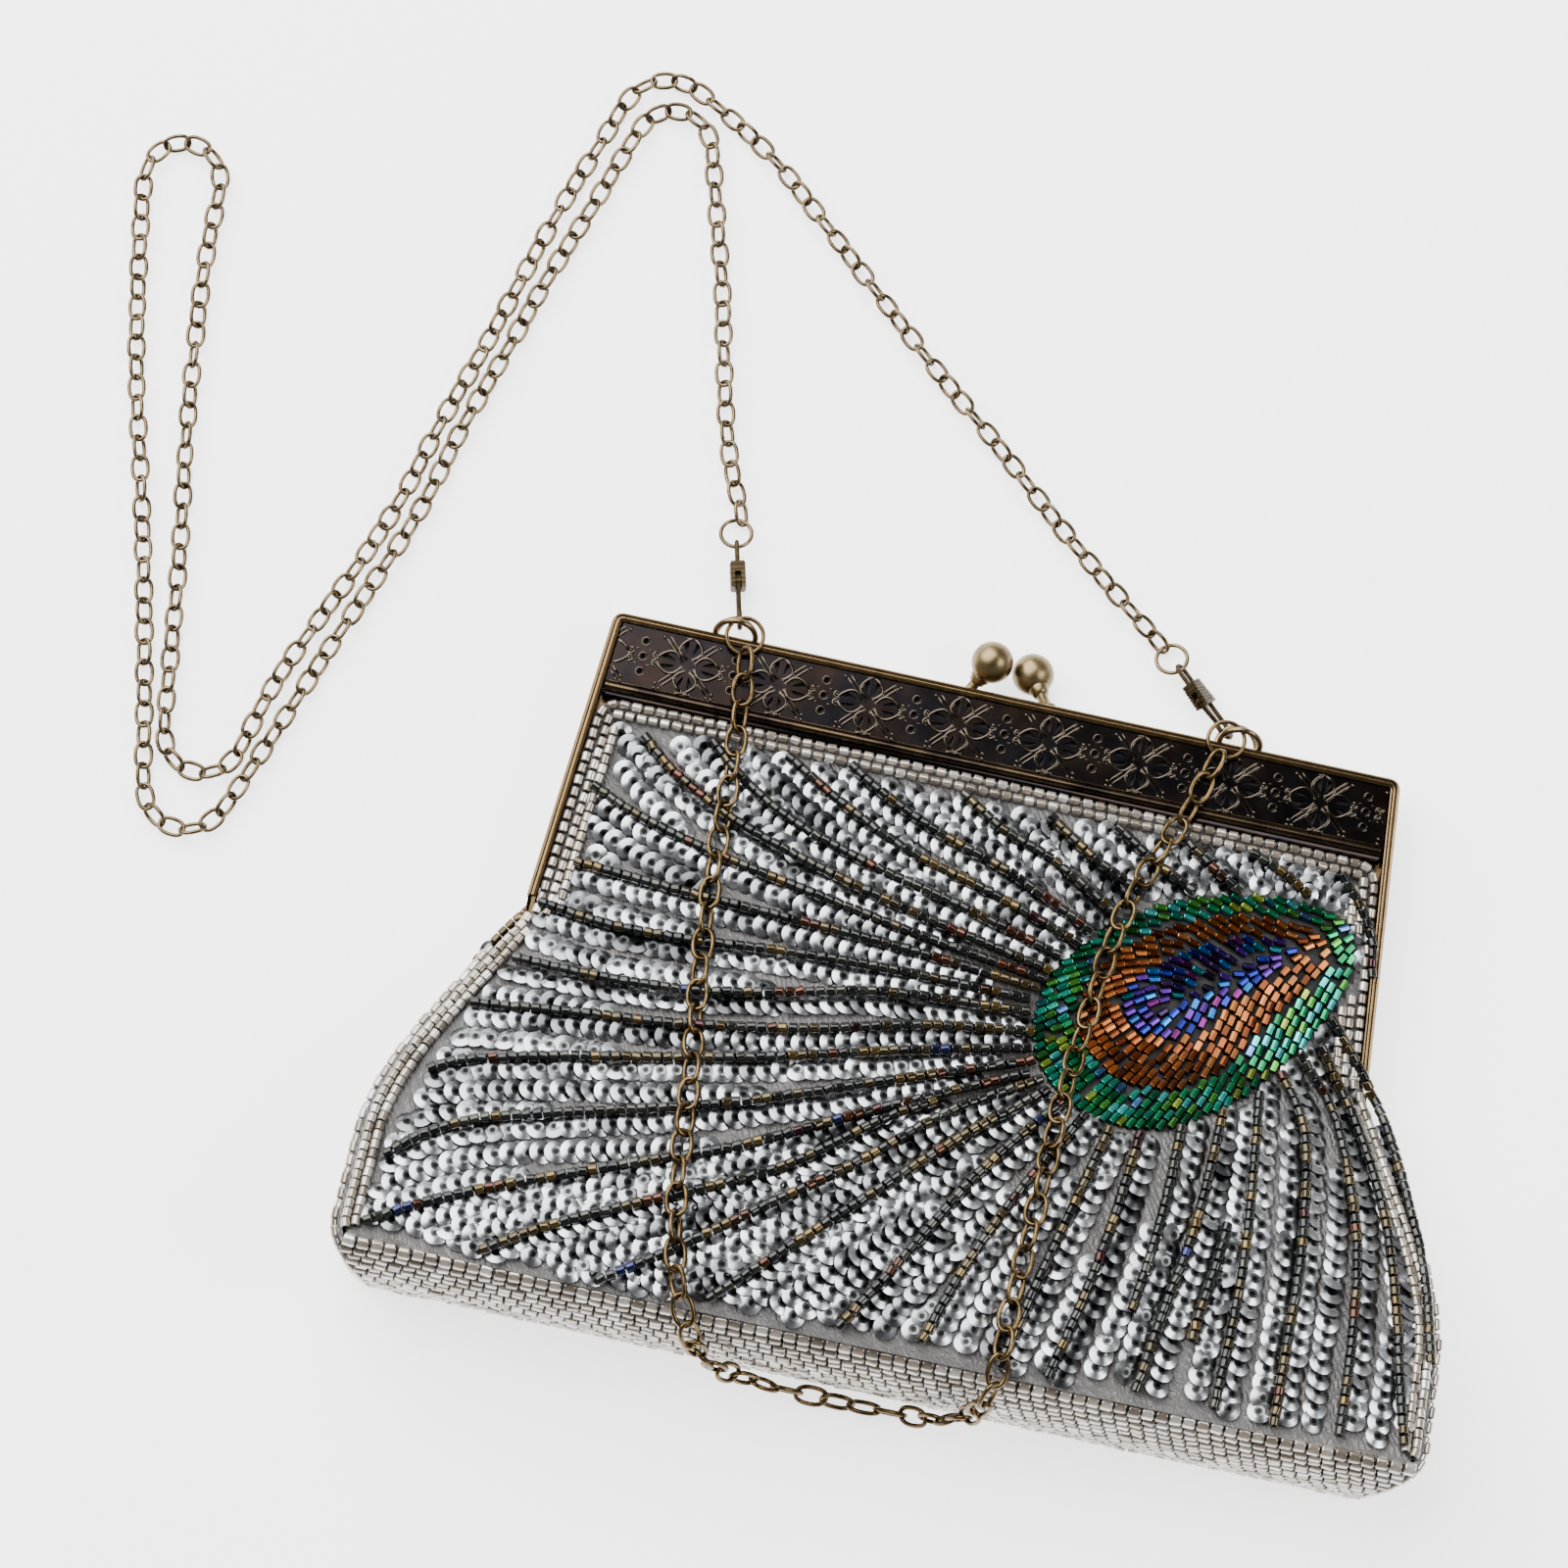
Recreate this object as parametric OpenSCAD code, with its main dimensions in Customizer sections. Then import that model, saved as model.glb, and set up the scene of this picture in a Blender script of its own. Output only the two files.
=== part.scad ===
// Beaded evening bag on a hinged brass frame with a kiss clasp.
// It lies on its back: X runs across the bag, +Y runs from the base to the frame, +Z comes out of the front.
// The rear panel rests on Z = 0, and the frame's hinge line is Y = 0.

/* [Frame] */
// Width of the frame across its top corners
frame_w = 190; // [182:2:196]
// Height of the frame from its hinge line to its top edge
frame_h = 76; // [72:1:84]
// How far each arm leans outward at the hinge line
arm_lean = 6; // [5:1:8]
// Width of the rim seen from the front
rim_w = 2.2; // [2:0.1:2.6]
// Height of the closing plane above the rest face
close_z = 7; // [7:0.5:8]
// Depth of one half of the frame
rim_d = 5.9; // [5.5:0.1:6.2]
// Height of the pierced plate, from the lip to the rim
plate_h = 14.4; // [13:0.2:16]
// Radius of the rolled lip below the plate
lip_r = 1.9; // [1.7:0.1:2.2]
// Radius of the hinge rivets
hinge_r = 1.2; // [1:0.1:1.4]

/* [Clasp] */
// Diameter of each clasp ball
ball_d = 10; // [8:0.5:10]
// Diameter of the stem under each ball
stem_d = 2.8; // [2:0.2:3]

/* [Pouch] */
// Greatest width of the pouch, near the base
base_w = 250; // [240:2:256]
// Length of the pouch below the hinge line
drop = 89; // [84:1:92]
// Depth of the pouch at the base seam
base_depth = 42.5; // [38:0.5:44]
// Height of the crown that the front panel makes
crown_h = 14; // [10:1:16]
// Thickness of a beaded panel
panel_t = 2.4; // [2:0.1:2.5]
// Thickness of the lining
lining_t = 0.6; // [0.5:0.1:0.7]

/* [Chains] */
// Outer width of a link of the long chain
long_link_w = 4.4; // [4:0.1:4.5]
// Outer width of a link of the short chain
short_link_w = 5.2; // [4.8:0.1:5.4]
// Place of the left lugs along the frame
left_lug_x = -66; // [-67:0.5:-65]
// Place of the right lugs along the frame
right_lug_x = 56; // [55:0.5:57]

/* [Hidden] */

brass = "darkgoldenrod";
bronze = "dimgray";
sequin = "silver";
satin = "lightgray";
fine = 48;

// Frame levels
gap = 0.3;
front_z0 = close_z + gap;
front_z1 = front_z0 + rim_d;
arm_end = 5.5;
lip_y = frame_h - rim_w - plate_h - lip_r + 0.1;
mouth_y = lip_y - lip_r - 0.3;
flange_t = 0.6;
arm_flange = 5;
ear_r = 3.2;
ear_t = 0.9;
pin_fit = 0.1;
plate_z = front_z1 - 2;
plate_t = 1;
field = 21.8;
field_x0 = 1;
lip_z = front_z0 + 3.7;

// Clasp
ball_x = ball_d / 2 + 0.1;
ball_y = frame_h + 8;
ball_dz = 1.8;
stem_x = 10;
stem_dz = 2.8;

// Plate piercings
piercing_r = 0.8;
piercing_step = 4;
leaf_out = 3.2;
leaf_split = 0.5;

// Lugs, rings and hooks
lug_r = 4.8;
lug_leg = 1.5;
lug_wire = 0.7;
lug_sink = 0.8;
lug_dz = 3.2;
front_lug_tilt = 60;
ring_wire = 0.5;
short_ring_r = 4.35;
short_ring_dy = 0.4;
short_ring_dz = 0.15;
left_ring_in = 2.3;
right_ring_in = 3.5;
long_ring_r = 3.7;
hook_wire = 0.6;
hook_r = 2.2;
eye_r = 1.5;
eye_wire = 0.55;
eye_y = 17.5;
long_ring_y = eye_y + eye_r - eye_wire - ring_wire - 0.1;
left_heading = 14;
right_heading = 47;
left_roll = 90;
right_roll = 55;
ring_dip = 18;
gate_x = -2;
gate_y = 9;
gate_pin_r = 0.35;
left_lug_arc = 90;
right_lug_arc = 135;

// Pouch
corner_r = 10;
neck_in = 28;
mouth_in = 32;
neck_y = 21;
taper_y = 59;
panel_side_z = 11.5;
edge = 2.2;
fold_half = 13;
grid_x = 16;
base_lean = 5.3;
seam_z = 40;
seam_y = base_lean - drop;
hem = 6.9;
lining_gap = 1;
board_in = 14;
board_y = 4.1;
board_lift = 1.6;
board_t = 2;
board_h = 22;
base_lining_in = 16;
base_lining_y = 6.2;
base_lining_lift = 1.2;
base_lining_h = 32;

// Half width of the frame's outer edge at height y
function frame_half(y) = frame_w / 2 + arm_lean * (frame_h - y) / frame_h;
function clamp01(t) = max(0, min(1, t));
function smooth(t) = let (c = clamp01(t)) c * c * (3 - 2 * c);

// Half width of the pouch's outline at height y
function half_w(y) =
    y < corner_r - drop
        ? base_w / 2 - corner_r + sqrt(max(0, pow(corner_r, 2) - pow(corner_r - drop - y, 2)))
    : y < neck_y
        ? base_w / 2 - neck_in * smooth((y + taper_y) / (neck_y + taper_y))
    : base_w / 2 - neck_in - (mouth_in - neck_in) * (y - neck_y) / (mouth_y + 2 - neck_y);

// Outer surface of the front panel: its side edge, its crown and both together
function side_z(y) = panel_side_z + (base_depth - panel_side_z) * pow(clamp01(-y / drop), 1.1);
function crown(y) = crown_h * pow(max(0, sin(180 * clamp01((mouth_y + 1 - y) / (mouth_y + 1 + drop)))), 0.8);
function front_z(x, y) =
    side_z(y) + crown(y) * (1 - pow(min(1, abs(x) / half_w(y)), 2.4));

// The base leans: its outer face at height z, and the height of that face at y
function base_y(z) = base_lean * pow(clamp01(z / seam_z), 2.5) - drop;
function base_top(y) = seam_z * pow(clamp01((y + drop) / base_lean), 0.4);

// Half width of the front panel: inside the frame's arms above the fold, inside the gussets below
function panel_half(y) = y >= 0 ? frame_half(y) - rim_w - 0.4 : half_w(y) - edge;

// A sheet from one grid of points (nu across, nv along) to another, closed round its edges
function quad(a, b, c, d) = [[a, b, c], [a, c, d]];
module sheet_solid(top, bottom, nu, nv) {
    n = (nu + 1) * (nv + 1);
    function at(i, j) = j * (nu + 1) + i;
    upper = [for (j = [0:nv - 1], i = [0:nu - 1])
        each quad(at(i, j), at(i, j + 1), at(i + 1, j + 1), at(i + 1, j))];
    lower = [for (j = [0:nv - 1], i = [0:nu - 1])
        each quad(n + at(i, j), n + at(i + 1, j), n + at(i + 1, j + 1), n + at(i, j + 1))];
    near = [for (i = [0:nu - 1]) each quad(at(i, 0), at(i + 1, 0), n + at(i + 1, 0), n + at(i, 0))];
    far = [for (i = [0:nu - 1])
        each quad(at(i + 1, nv), at(i, nv), n + at(i, nv), n + at(i + 1, nv))];
    left = [for (j = [0:nv - 1]) each quad(at(0, j + 1), at(0, j), n + at(0, j), n + at(0, j + 1))];
    right = [for (j = [0:nv - 1])
        each quad(at(nu, j), at(nu, j + 1), n + at(nu, j + 1), n + at(nu, j))];
    polyhedron(concat(top, bottom), concat(upper, lower, near, far, left, right));
}

// A length of the front panel between two heights, a given depth below its outer surface
module front_sheet(y0, y1, depth, thick, inset, nv) {
    ys = [for (j = [0:nv]) y0 + (y1 - y0) * j / nv];
    us = [for (i = [0:grid_x]) 2 * i / grid_x - 1];
    top = [for (y = ys, u = us)
        let (x = u * (panel_half(y) - inset)) [x, y, front_z(x, y) - depth]];
    bottom = [for (p = top) [p[0], p[1], p[2] - thick]];
    sheet_solid(top, bottom, grid_x, nv);
}

// A side wall, from the rear panel up to the front panel's edge
module side_sheet(side, y0, y1, inset, thick, foot_z, top_gap, nv) {
    ys = [for (j = [0:nv]) y0 + (y1 - y0) * pow(j / nv, 1.8)];
    outer = [for (y = ys, t = [0, 1])
        [side * (half_w(y) - inset), y, t == 0 ? foot_z : min(base_top(y), side_z(y) - top_gap)]];
    inner = [for (p = outer) [p[0] - side * thick, p[1], p[2]]];
    if (side > 0) sheet_solid(inner, outer, 1, nv);
    if (side < 0) sheet_solid(outer, inner, 1, nv);
}

// The part of the frame's outline between an outer and an inner inset, down to height y0
module frame_outline(outer, inner, y0, top_inner) {
    polygon([
        [-frame_half(y0) + outer, y0], [-frame_half(frame_h) + outer, frame_h - outer],
        [frame_half(frame_h) - outer, frame_h - outer], [frame_half(y0) - outer, y0],
        [frame_half(y0) - inner, y0], [frame_half(top_inner) - inner, top_inner],
        [-frame_half(top_inner) + inner, top_inner], [-frame_half(y0) + inner, y0]]);
}

// One half of the frame as it faces +Z, with its two hinge ears this far in from the arm's outside
module frame_half_part(ear_in) {
    difference() {
        union() {
            translate([0, 0, front_z0]) linear_extrude(rim_d)
                frame_outline(0, rim_w, arm_end, frame_h - rim_w);
            translate([0, 0, front_z0]) linear_extrude(flange_t)
                frame_outline(rim_w / 2, rim_w + arm_flange, arm_end + 3, mouth_y - 1);
            for (side = [-1, 1]) {
                translate([side * (frame_half(arm_end) - ear_in), 0, close_z])
                    rotate([0, 90, 0]) cylinder(h = ear_t, r = ear_r, center = true, $fn = fine);
                translate([side * (frame_half(arm_end) - ear_in), 4, close_z + 2.6])
                    cube([ear_t, 5, 4.6], center = true);
            }
        }
        for (side = [-1, 1]) {
            translate([side * (frame_half(arm_end) - ear_in), 0, close_z]) rotate([0, 90, 0])
                cylinder(h = 2 * ear_t, r = hinge_r + pin_fit, center = true, $fn = fine);
            translate([side * (frame_half(arm_end) - ear_in), 4, close_z - 5 + gap])
                cube([2 * ear_t, 2.4, 10], center = true);
        }
    }
}

// Turns a front piece into the matching rear piece
module to_rear() {
    translate([0, 0, 2 * close_z]) mirror([0, 0, 1]) children();
}

module front_frame() {
    color(brass) frame_half_part(rim_w - ear_t / 2 - 0.1);
}

module rear_frame() {
    color(brass) to_rear() frame_half_part(ear_t / 2 + 0.1);
}

// The stamped plate with its columns of round piercings between eight square fields
module plate_part() {
    y0 = frame_h - rim_w - plate_h + 0.2;
    y1 = frame_h - rim_w - 0.1;
    x0 = frame_half(y0) - rim_w - 0.1;
    x1 = frame_half(y1) - rim_w - 0.1;
    translate([0, 0, plate_z]) linear_extrude(plate_t) difference() {
        polygon([[-x0, y0], [-x1, y1], [x1, y1], [x0, y0]]);
        for (i = [-3:3], row = [-1, 0, 1])
            translate([field_x0 + i * field, (y0 + y1) / 2 + row * piercing_step])
                circle(piercing_r, $fn = 24);
        for (i = [-4:3], side = [-1, 1], way = [-1, 1])
            translate([field_x0 + (i + 0.5) * field + side * leaf_out, (y0 + y1) / 2 + way * leaf_split])
                scale([side, way]) petal_hole();
    }
}

// One of the two pierced leaves of a flower's side petal
module petal_hole() {
    polygon([[0, 0], [1.3, 0.2], [2.6, 0.5], [3.3, 1.1], [3.4, 1.8], [3, 2.3], [2.3, 2.3],
        [1.5, 1.7], [0.7, 0.8]]);
}

module front_plate() {
    color(bronze) plate_part();
}

module rear_plate() {
    color(bronze) to_rear() plate_part();
}

module lip_part() {
    translate([0, lip_y, lip_z]) rotate([0, 90, 0])
        cylinder(h = 2 * (frame_half(lip_y + lip_r) - rim_w - 0.1), r = lip_r, center = true, $fn = fine);
}

module front_lip() {
    color(bronze) lip_part();
}

module rear_lip() {
    color(bronze) to_rear() lip_part();
}

// Both hinge rivets, with a head outside and a burr inside
module hinge_pins() {
    color(brass) for (side = [-1, 1])
        translate([side * (frame_half(arm_end) - rim_w / 2), 0, close_z]) rotate([0, side * 90, 0]) {
            cylinder(h = rim_w + 0.6, r = hinge_r, center = true, $fn = fine);
            translate([0, 0, rim_w / 2 + 0.1]) cylinder(h = 0.8, r = 2.2, $fn = fine);
            translate([0, 0, -rim_w / 2 - 0.6]) cylinder(h = 0.5, r = 1.9, $fn = fine);
        }
}

// A ball on a leaning stem: side is the stem's side, lean is +1 for the rear half's and -1 for the front's
module clasp_part(side, lean) {
    foot = [side * stem_x, frame_h - 0.8, close_z - lean * stem_dz];
    ball = [side * ball_x, ball_y, close_z + lean * ball_dz];
    v = ball - foot;
    tilt = acos(v[2] / norm(v));
    turn = atan2(v[1], v[0]);
    translate(ball) sphere(d = ball_d, $fn = fine);
    translate(foot) rotate([0, tilt, turn]) {
        cylinder(h = norm(v), d = stem_d, $fn = fine);
        translate([0, 0, norm(v) - ball_d / 2 - 1.2])
            cylinder(h = 2.4, d1 = stem_d + 1, d2 = stem_d + 2, $fn = fine);
    }
}

module front_clasp() {
    color(brass) clasp_part(1, -1);
}

module rear_clasp() {
    color(brass) clasp_part(-1, 1);
}

// A half ring on two short legs, standing on the frame's top edge
module lug_part(x, z, tilt) {
    translate([x, frame_h, z]) rotate([tilt, 0, 0]) {
        translate([0, lug_leg, 0]) rotate_extrude(angle = 180, $fn = 64)
            translate([lug_r, 0]) circle(lug_wire, $fn = 24);
        for (side = [-1, 1]) translate([side * lug_r, -lug_sink, 0]) rotate([-90, 0, 0])
            cylinder(h = lug_leg + lug_sink, r = lug_wire, $fn = 24);
    }
}

module front_lug_left() {
    color(brass) lug_part(left_lug_x, close_z + lug_dz, front_lug_tilt);
}

module front_lug_right() {
    color(brass) lug_part(right_lug_x, close_z + lug_dz, front_lug_tilt);
}

module rear_lug_left() {
    color(brass) lug_part(left_lug_x, close_z - lug_dz, 0);
}

module rear_lug_right() {
    color(brass) lug_part(right_lug_x, close_z - lug_dz, 0);
}

module ring_part(r) {
    rotate_extrude($fn = 64) translate([r, 0]) circle(ring_wire, $fn = 24);
}

// The short chain's end rings lie on the rim, each through one leg of its lug
module rim_ring(x) {
    translate([x, frame_h + short_ring_dy, front_z1 + ring_wire + short_ring_dz])
        ring_part(short_ring_r);
}

module short_ring_left() {
    color(brass) rim_ring(left_lug_x + left_ring_in);
}

module short_ring_right() {
    color(brass) rim_ring(right_lug_x - right_ring_in);
}

// Where a hook takes hold of a rear lug, how it points and how it is rolled about its length
module at_lug(x, arc, heading) {
    translate([x + lug_r * cos(arc), frame_h + lug_leg + lug_r * sin(arc), close_z - lug_dz])
        rotate([0, 0, heading]) children();
}

module at_left_hook() {
    at_lug(left_lug_x, left_lug_arc, left_heading) rotate([0, left_roll, 0]) children();
}

module at_right_hook() {
    at_lug(right_lug_x, right_lug_arc, right_heading) rotate([0, right_roll, 0]) children();
}

module wire_rod(from, length, r) {
    translate(from) rotate([-90, 0, 0]) cylinder(h = length, r = r, $fn = 24);
}

// Snap hook: a J that takes the lug, a ribbed grip and an eye for the chain's ring
module hook_part() {
    grip_y0 = 7.4;
    grip_y1 = 14;
    translate([0, 0.2, 0]) rotate([0, 0, 180]) rotate_extrude(angle = 180, $fn = 48)
        translate([hook_r, 0]) circle(hook_wire, $fn = 24);
    wire_rod([hook_r, 0.2, 0], grip_y0, hook_wire);
    wire_rod([-hook_r, 0.2, 0], 1.6, hook_wire);
    difference() {
        translate([0, 0, -1.6]) linear_extrude(3.2) polygon([
            [-3, grip_y0], [3, grip_y0], [2.2, grip_y1], [-2.2, grip_y1]]);
        translate([-2.3, grip_y0 + 1.7, 0]) cube([3.4, 4.6, 1.5], center = true);
        translate([gate_x, gate_y, 0])
            cylinder(h = 5, r = gate_pin_r, center = true, $fn = 24);
        for (side = [-1, 1], i = [0:4])
            translate([side * (2.92 - 0.12 * i), grip_y0 + 1 + 1.15 * i, 0])
                cube([0.6, 0.45, 4], center = true);
    }
    for (side = [-1, 1]) wire_rod([side * eye_r, grip_y1 - 1, 0], eye_y - grip_y1 + 1, eye_wire);
    translate([0, eye_y, 0]) rotate_extrude(angle = 180, $fn = 48)
        translate([eye_r, 0]) circle(eye_wire, $fn = 24);
}

module left_hook() {
    color(brass) at_left_hook() hook_part();
}

module right_hook() {
    color(brass) at_right_hook() hook_part();
}

// The gate closes the hook's mouth from inside and turns inward on its pin
module gate_part() {
    difference() {
        translate([0, 0, -0.5]) linear_extrude(1) union() {
            translate([gate_x, gate_y]) circle(0.85, $fn = 32);
            polygon([[-2.7, gate_y - 0.2], [-1.4, 2.2], [-1.4, 1.5], [-0.7, 1.5], [-0.7, 2.2],
                [-1.25, gate_y - 0.2]]);
        }
        translate([gate_x, gate_y, 0])
            cylinder(h = 3, r = gate_pin_r + 0.08, center = true, $fn = 24);
    }
}

module left_gate() {
    color(brass) at_left_hook() gate_part();
}

module right_gate() {
    color(brass) at_right_hook() gate_part();
}

module gate_pin_part() {
    translate([gate_x, gate_y, 0]) cylinder(h = 3.3, r = gate_pin_r, center = true, $fn = 24);
}

module gate_pins() {
    color(brass) at_left_hook() gate_pin_part();
    color(brass) at_right_hook() gate_pin_part();
}

// A leaf that lies in the grip's slot beside the gate
module gate_spring_part() {
    translate([-0.85, gate_y - 1, 0]) cube([0.18, 3.4, 0.9], center = true);
}

module left_gate_spring() {
    color("silver") at_left_hook() gate_spring_part();
}

module right_gate_spring() {
    color("silver") at_right_hook() gate_spring_part();
}

// The long chain's end rings hang through the hooks' eyes and dip to the resting surface
module dip_ring() {
    translate([0, long_ring_y, 0]) rotate([-ring_dip, 0, 0]) translate([0, long_ring_r, 0])
        ring_part(long_ring_r);
}

module long_ring_left() {
    color(brass) at_lug(left_lug_x, left_lug_arc, left_heading) dip_ring();
}

module long_ring_right() {
    color(brass) at_lug(right_lug_x, right_lug_arc, right_heading) dip_ring();
}

// Routes of the two chains, along the middle of their links
long_z = 2.4;
// Points round a bend, from one angle to another
function bend(centre, r, from, to, n) =
    [for (i = [0:n]) let (a = from + (to - from) * i / n) centre + r * [cos(a), sin(a)]];
long_route = concat(
    [[-71, 108], [-77, 122], [-82, 140], [-87, 161], [-92.5, 180]],
    bend([-106.3, 194.5], 9.3, 17, 158, 5),
    [[-122, 176], [-129, 155], [-135, 134], [-141, 114], [-146, 93], [-153, 73], [-160, 54], [-167, 34]],
    bend([-185, 14.3], 10, -22, -168, 5),
    [[-199, 31], [-206, 60], [-213, 86], [-220, 111], [-226, 139]],
    bend([-220.3, 160.5], 9.3, 190, 4, 6),
    [[-210, 138], [-205, 100], [-200, 72], [-195.8, 44]],
    bend([-184, 27.6], 9.3, 190, 338, 5),
    [[-170, 45], [-158, 75], [-151, 95], [-146, 115], [-140, 135], [-135, 154], [-129.5, 174],
        [-123.5, 192]],
    bend([-108.8, 199.3], 11.8, 157, 52, 4),
    [[-83, 197.5], [-66, 183], [-48, 167], [-31, 152], [-13, 137], [4, 122], [20, 109], [33, 99]]);
short_lift = short_link_w / 2 + 0.7;
function on_panel(path) = [for (p = path) [p[0], p[1], front_z(p[0], p[1]) + short_lift]];
short_route = concat(
    [[-62, 71, 16.6], [-61, 58, 16.6]],
    on_panel([[-60, 43], [-59, 16], [-57, -8], [-54, -32], [-52, -55], [-49, -72], [-46, -81]]),
    [[-42, -89, 42], [-37, -93, 29], [-27, -94, 14], [-12, -94, 5], [4, -94, 4], [16, -94, 13],
        [23, -93, 29], [26, -89, 42]],
    on_panel([[27, -81], [27, -70], [28, -53], [29, -36], [30, -18], [32, -1], [34, 17], [37, 32],
        [42, 46]]),
    [[47, 58, 16.6], [51, 70, 16.6]]);

function unit(v) = v / norm(v);
function heading_at(path, i) =
    unit(path[min(i + 1, len(path) - 1)] - path[max(i - 1, 0)]);

// A tube of eight sides swept along a route, with a ring at each of its points
module route_tube(path, r) {
    sides = 8;
    n = len(path);
    pts = [for (i = [0:n - 1])
        let (t = heading_at(path, i), side = unit(cross(t, [0.1, 0.1, 1])), up = cross(side, t))
        for (k = [0:sides - 1])
            path[i] + r * (cos(360 * k / sides) * side + sin(360 * k / sides) * up)];
    walls = [for (i = [0:n - 2], k = [0:sides - 1])
        let (a = i * sides + k, b = i * sides + (k + 1) % sides)
        each quad(a, b, b + sides, a + sides)];
    first = [for (k = [0:sides - 1]) sides - 1 - k];
    last = [for (k = [0:sides - 1]) (n - 1) * sides + k];
    polyhedron(pts, concat(walls, [first, last]));
}

module short_chain() {
    color(brass) route_tube(short_route, short_link_w / 2);
}

module long_chain() {
    color(brass) route_tube([for (p = long_route) [p[0], p[1], long_z]], long_link_w / 2);
}

// The front panel is one sheet of cloth, cut here at the hinge line so that its top can swing
module front_panel_upper() {
    color(sequin) front_sheet(fold_half, mouth_y, 0, panel_t, 0, 6);
}

module front_panel_fold() {
    color(sequin) front_sheet(0.2 - fold_half, fold_half - 0.2, 0, panel_t, 9, 4);
}

module front_panel_lower() {
    color(sequin) front_sheet(seam_y + 0.1, -fold_half, 0, panel_t, 0, 12);
}

// Flat outline of the pouch between two heights, inset from its sides
module pouch_outline(y0, y1, inset) {
    ys = [for (j = [0:20]) y0 + (y1 - y0) * j / 20];
    function half(y) = y > 4 ? min(half_w(y), frame_half(y) - rim_w) - inset : half_w(y) - inset;
    polygon(concat([for (y = ys) [half(y), y]],
        [for (j = [20:-1:0]) [-half(ys[j]), ys[j]]]));
}

// A flat rear sheet with room for the hinge ears
module rear_sheet(y0, inset, thick) {
    linear_extrude(thick) difference() {
        pouch_outline(y0, mouth_y, inset);
        for (side = [-1, 1])
            translate([side * (frame_half(0) - 1), 3]) square([10, 16], center = true);
    }
}

module rear_panel() {
    color(sequin) rear_sheet(-drop, 0.1, panel_t);
}

module side_gusset_left() {
    color(sequin) side_sheet(-1, 0.2 - drop, -9, 0, edge - 0.3, panel_t + 0.1, 0.1, 12);
}

module side_gusset_right() {
    color(sequin) side_sheet(1, 0.2 - drop, -9, 0, edge - 0.3, panel_t + 0.1, 0.1, 12);
}

// The base leans in towards the front seam and tucks under the front panel's edge
module base_gusset() {
    rows = 8;
    zs = [for (j = [0:rows]) panel_t + 0.1 + (seam_z - panel_t - 2.3) * j / rows];
    outer = [for (z = zs, u = [-1, 0, 1]) [u * (half_w(base_y(z)) - edge + 0.2), base_y(z), z]];
    inner = [for (p = outer) [p[0], p[1] + edge - 0.2, p[2]]];
    color(satin) sheet_solid(outer, inner, 2, rows);
}

module base_board() {
    color("tan") translate([board_in - base_w / 2, board_y - drop, panel_t + board_lift])
        cube([base_w - 2 * board_in, board_t, board_h]);
}

module lining_front() {
    color(satin) front_sheet(hem - drop, mouth_y - 1.4, panel_t + lining_gap, lining_t, 5, 14);
}

module lining_rear() {
    color(satin) translate([0, 0, panel_t + 0.1]) rear_sheet(hem - drop, 5, lining_t);
}

module lining_base() {
    color(satin) translate([base_lining_in - base_w / 2, base_lining_y - drop, panel_t + base_lining_lift])
        cube([base_w - 2 * base_lining_in, lining_t, base_lining_h]);
}

module lining_left() {
    color(satin) side_sheet(-1, hem - drop, -16, edge + 0.6, lining_t, panel_t + 1, 4.8, 10);
}

module lining_right() {
    color(satin) side_sheet(1, hem - drop, -16, edge + 0.6, lining_t, panel_t + 1, 4.8, 10);
}

front_frame();
rear_frame();
front_plate();
rear_plate();
front_lip();
rear_lip();
hinge_pins();
front_clasp();
rear_clasp();
front_lug_left();
front_lug_right();
rear_lug_left();
rear_lug_right();
short_ring_left();
short_ring_right();
short_chain();
long_chain();
long_ring_left();
long_ring_right();
left_hook();
right_hook();
left_gate();
right_gate();
gate_pins();
left_gate_spring();
right_gate_spring();
front_panel_upper();
front_panel_fold();
front_panel_lower();
rear_panel();
side_gusset_left();
side_gusset_right();
base_gusset();
base_board();
lining_front();
lining_rear();
lining_base();
lining_left();
lining_right();
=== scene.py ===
import math

import bpy
import numpy as np
from mathutils import Matrix, Vector


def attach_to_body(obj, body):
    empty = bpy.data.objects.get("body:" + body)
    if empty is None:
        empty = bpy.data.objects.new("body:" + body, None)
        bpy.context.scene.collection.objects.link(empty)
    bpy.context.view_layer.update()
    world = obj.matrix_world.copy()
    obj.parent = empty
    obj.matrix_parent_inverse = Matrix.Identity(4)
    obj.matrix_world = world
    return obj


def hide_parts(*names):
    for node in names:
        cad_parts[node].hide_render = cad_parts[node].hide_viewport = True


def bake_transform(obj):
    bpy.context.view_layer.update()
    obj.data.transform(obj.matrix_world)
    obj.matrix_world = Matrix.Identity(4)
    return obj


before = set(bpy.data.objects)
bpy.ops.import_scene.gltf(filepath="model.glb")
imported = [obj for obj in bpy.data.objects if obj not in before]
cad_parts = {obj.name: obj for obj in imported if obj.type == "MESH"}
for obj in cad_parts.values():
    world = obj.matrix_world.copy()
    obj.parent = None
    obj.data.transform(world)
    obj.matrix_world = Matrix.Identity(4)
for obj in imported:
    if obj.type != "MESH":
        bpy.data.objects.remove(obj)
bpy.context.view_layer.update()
rng = np.random.default_rng(11)
MM = 0.001
ROOT, FRONT, BENDS = "rear_half", "front_half", "both halves"

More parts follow.
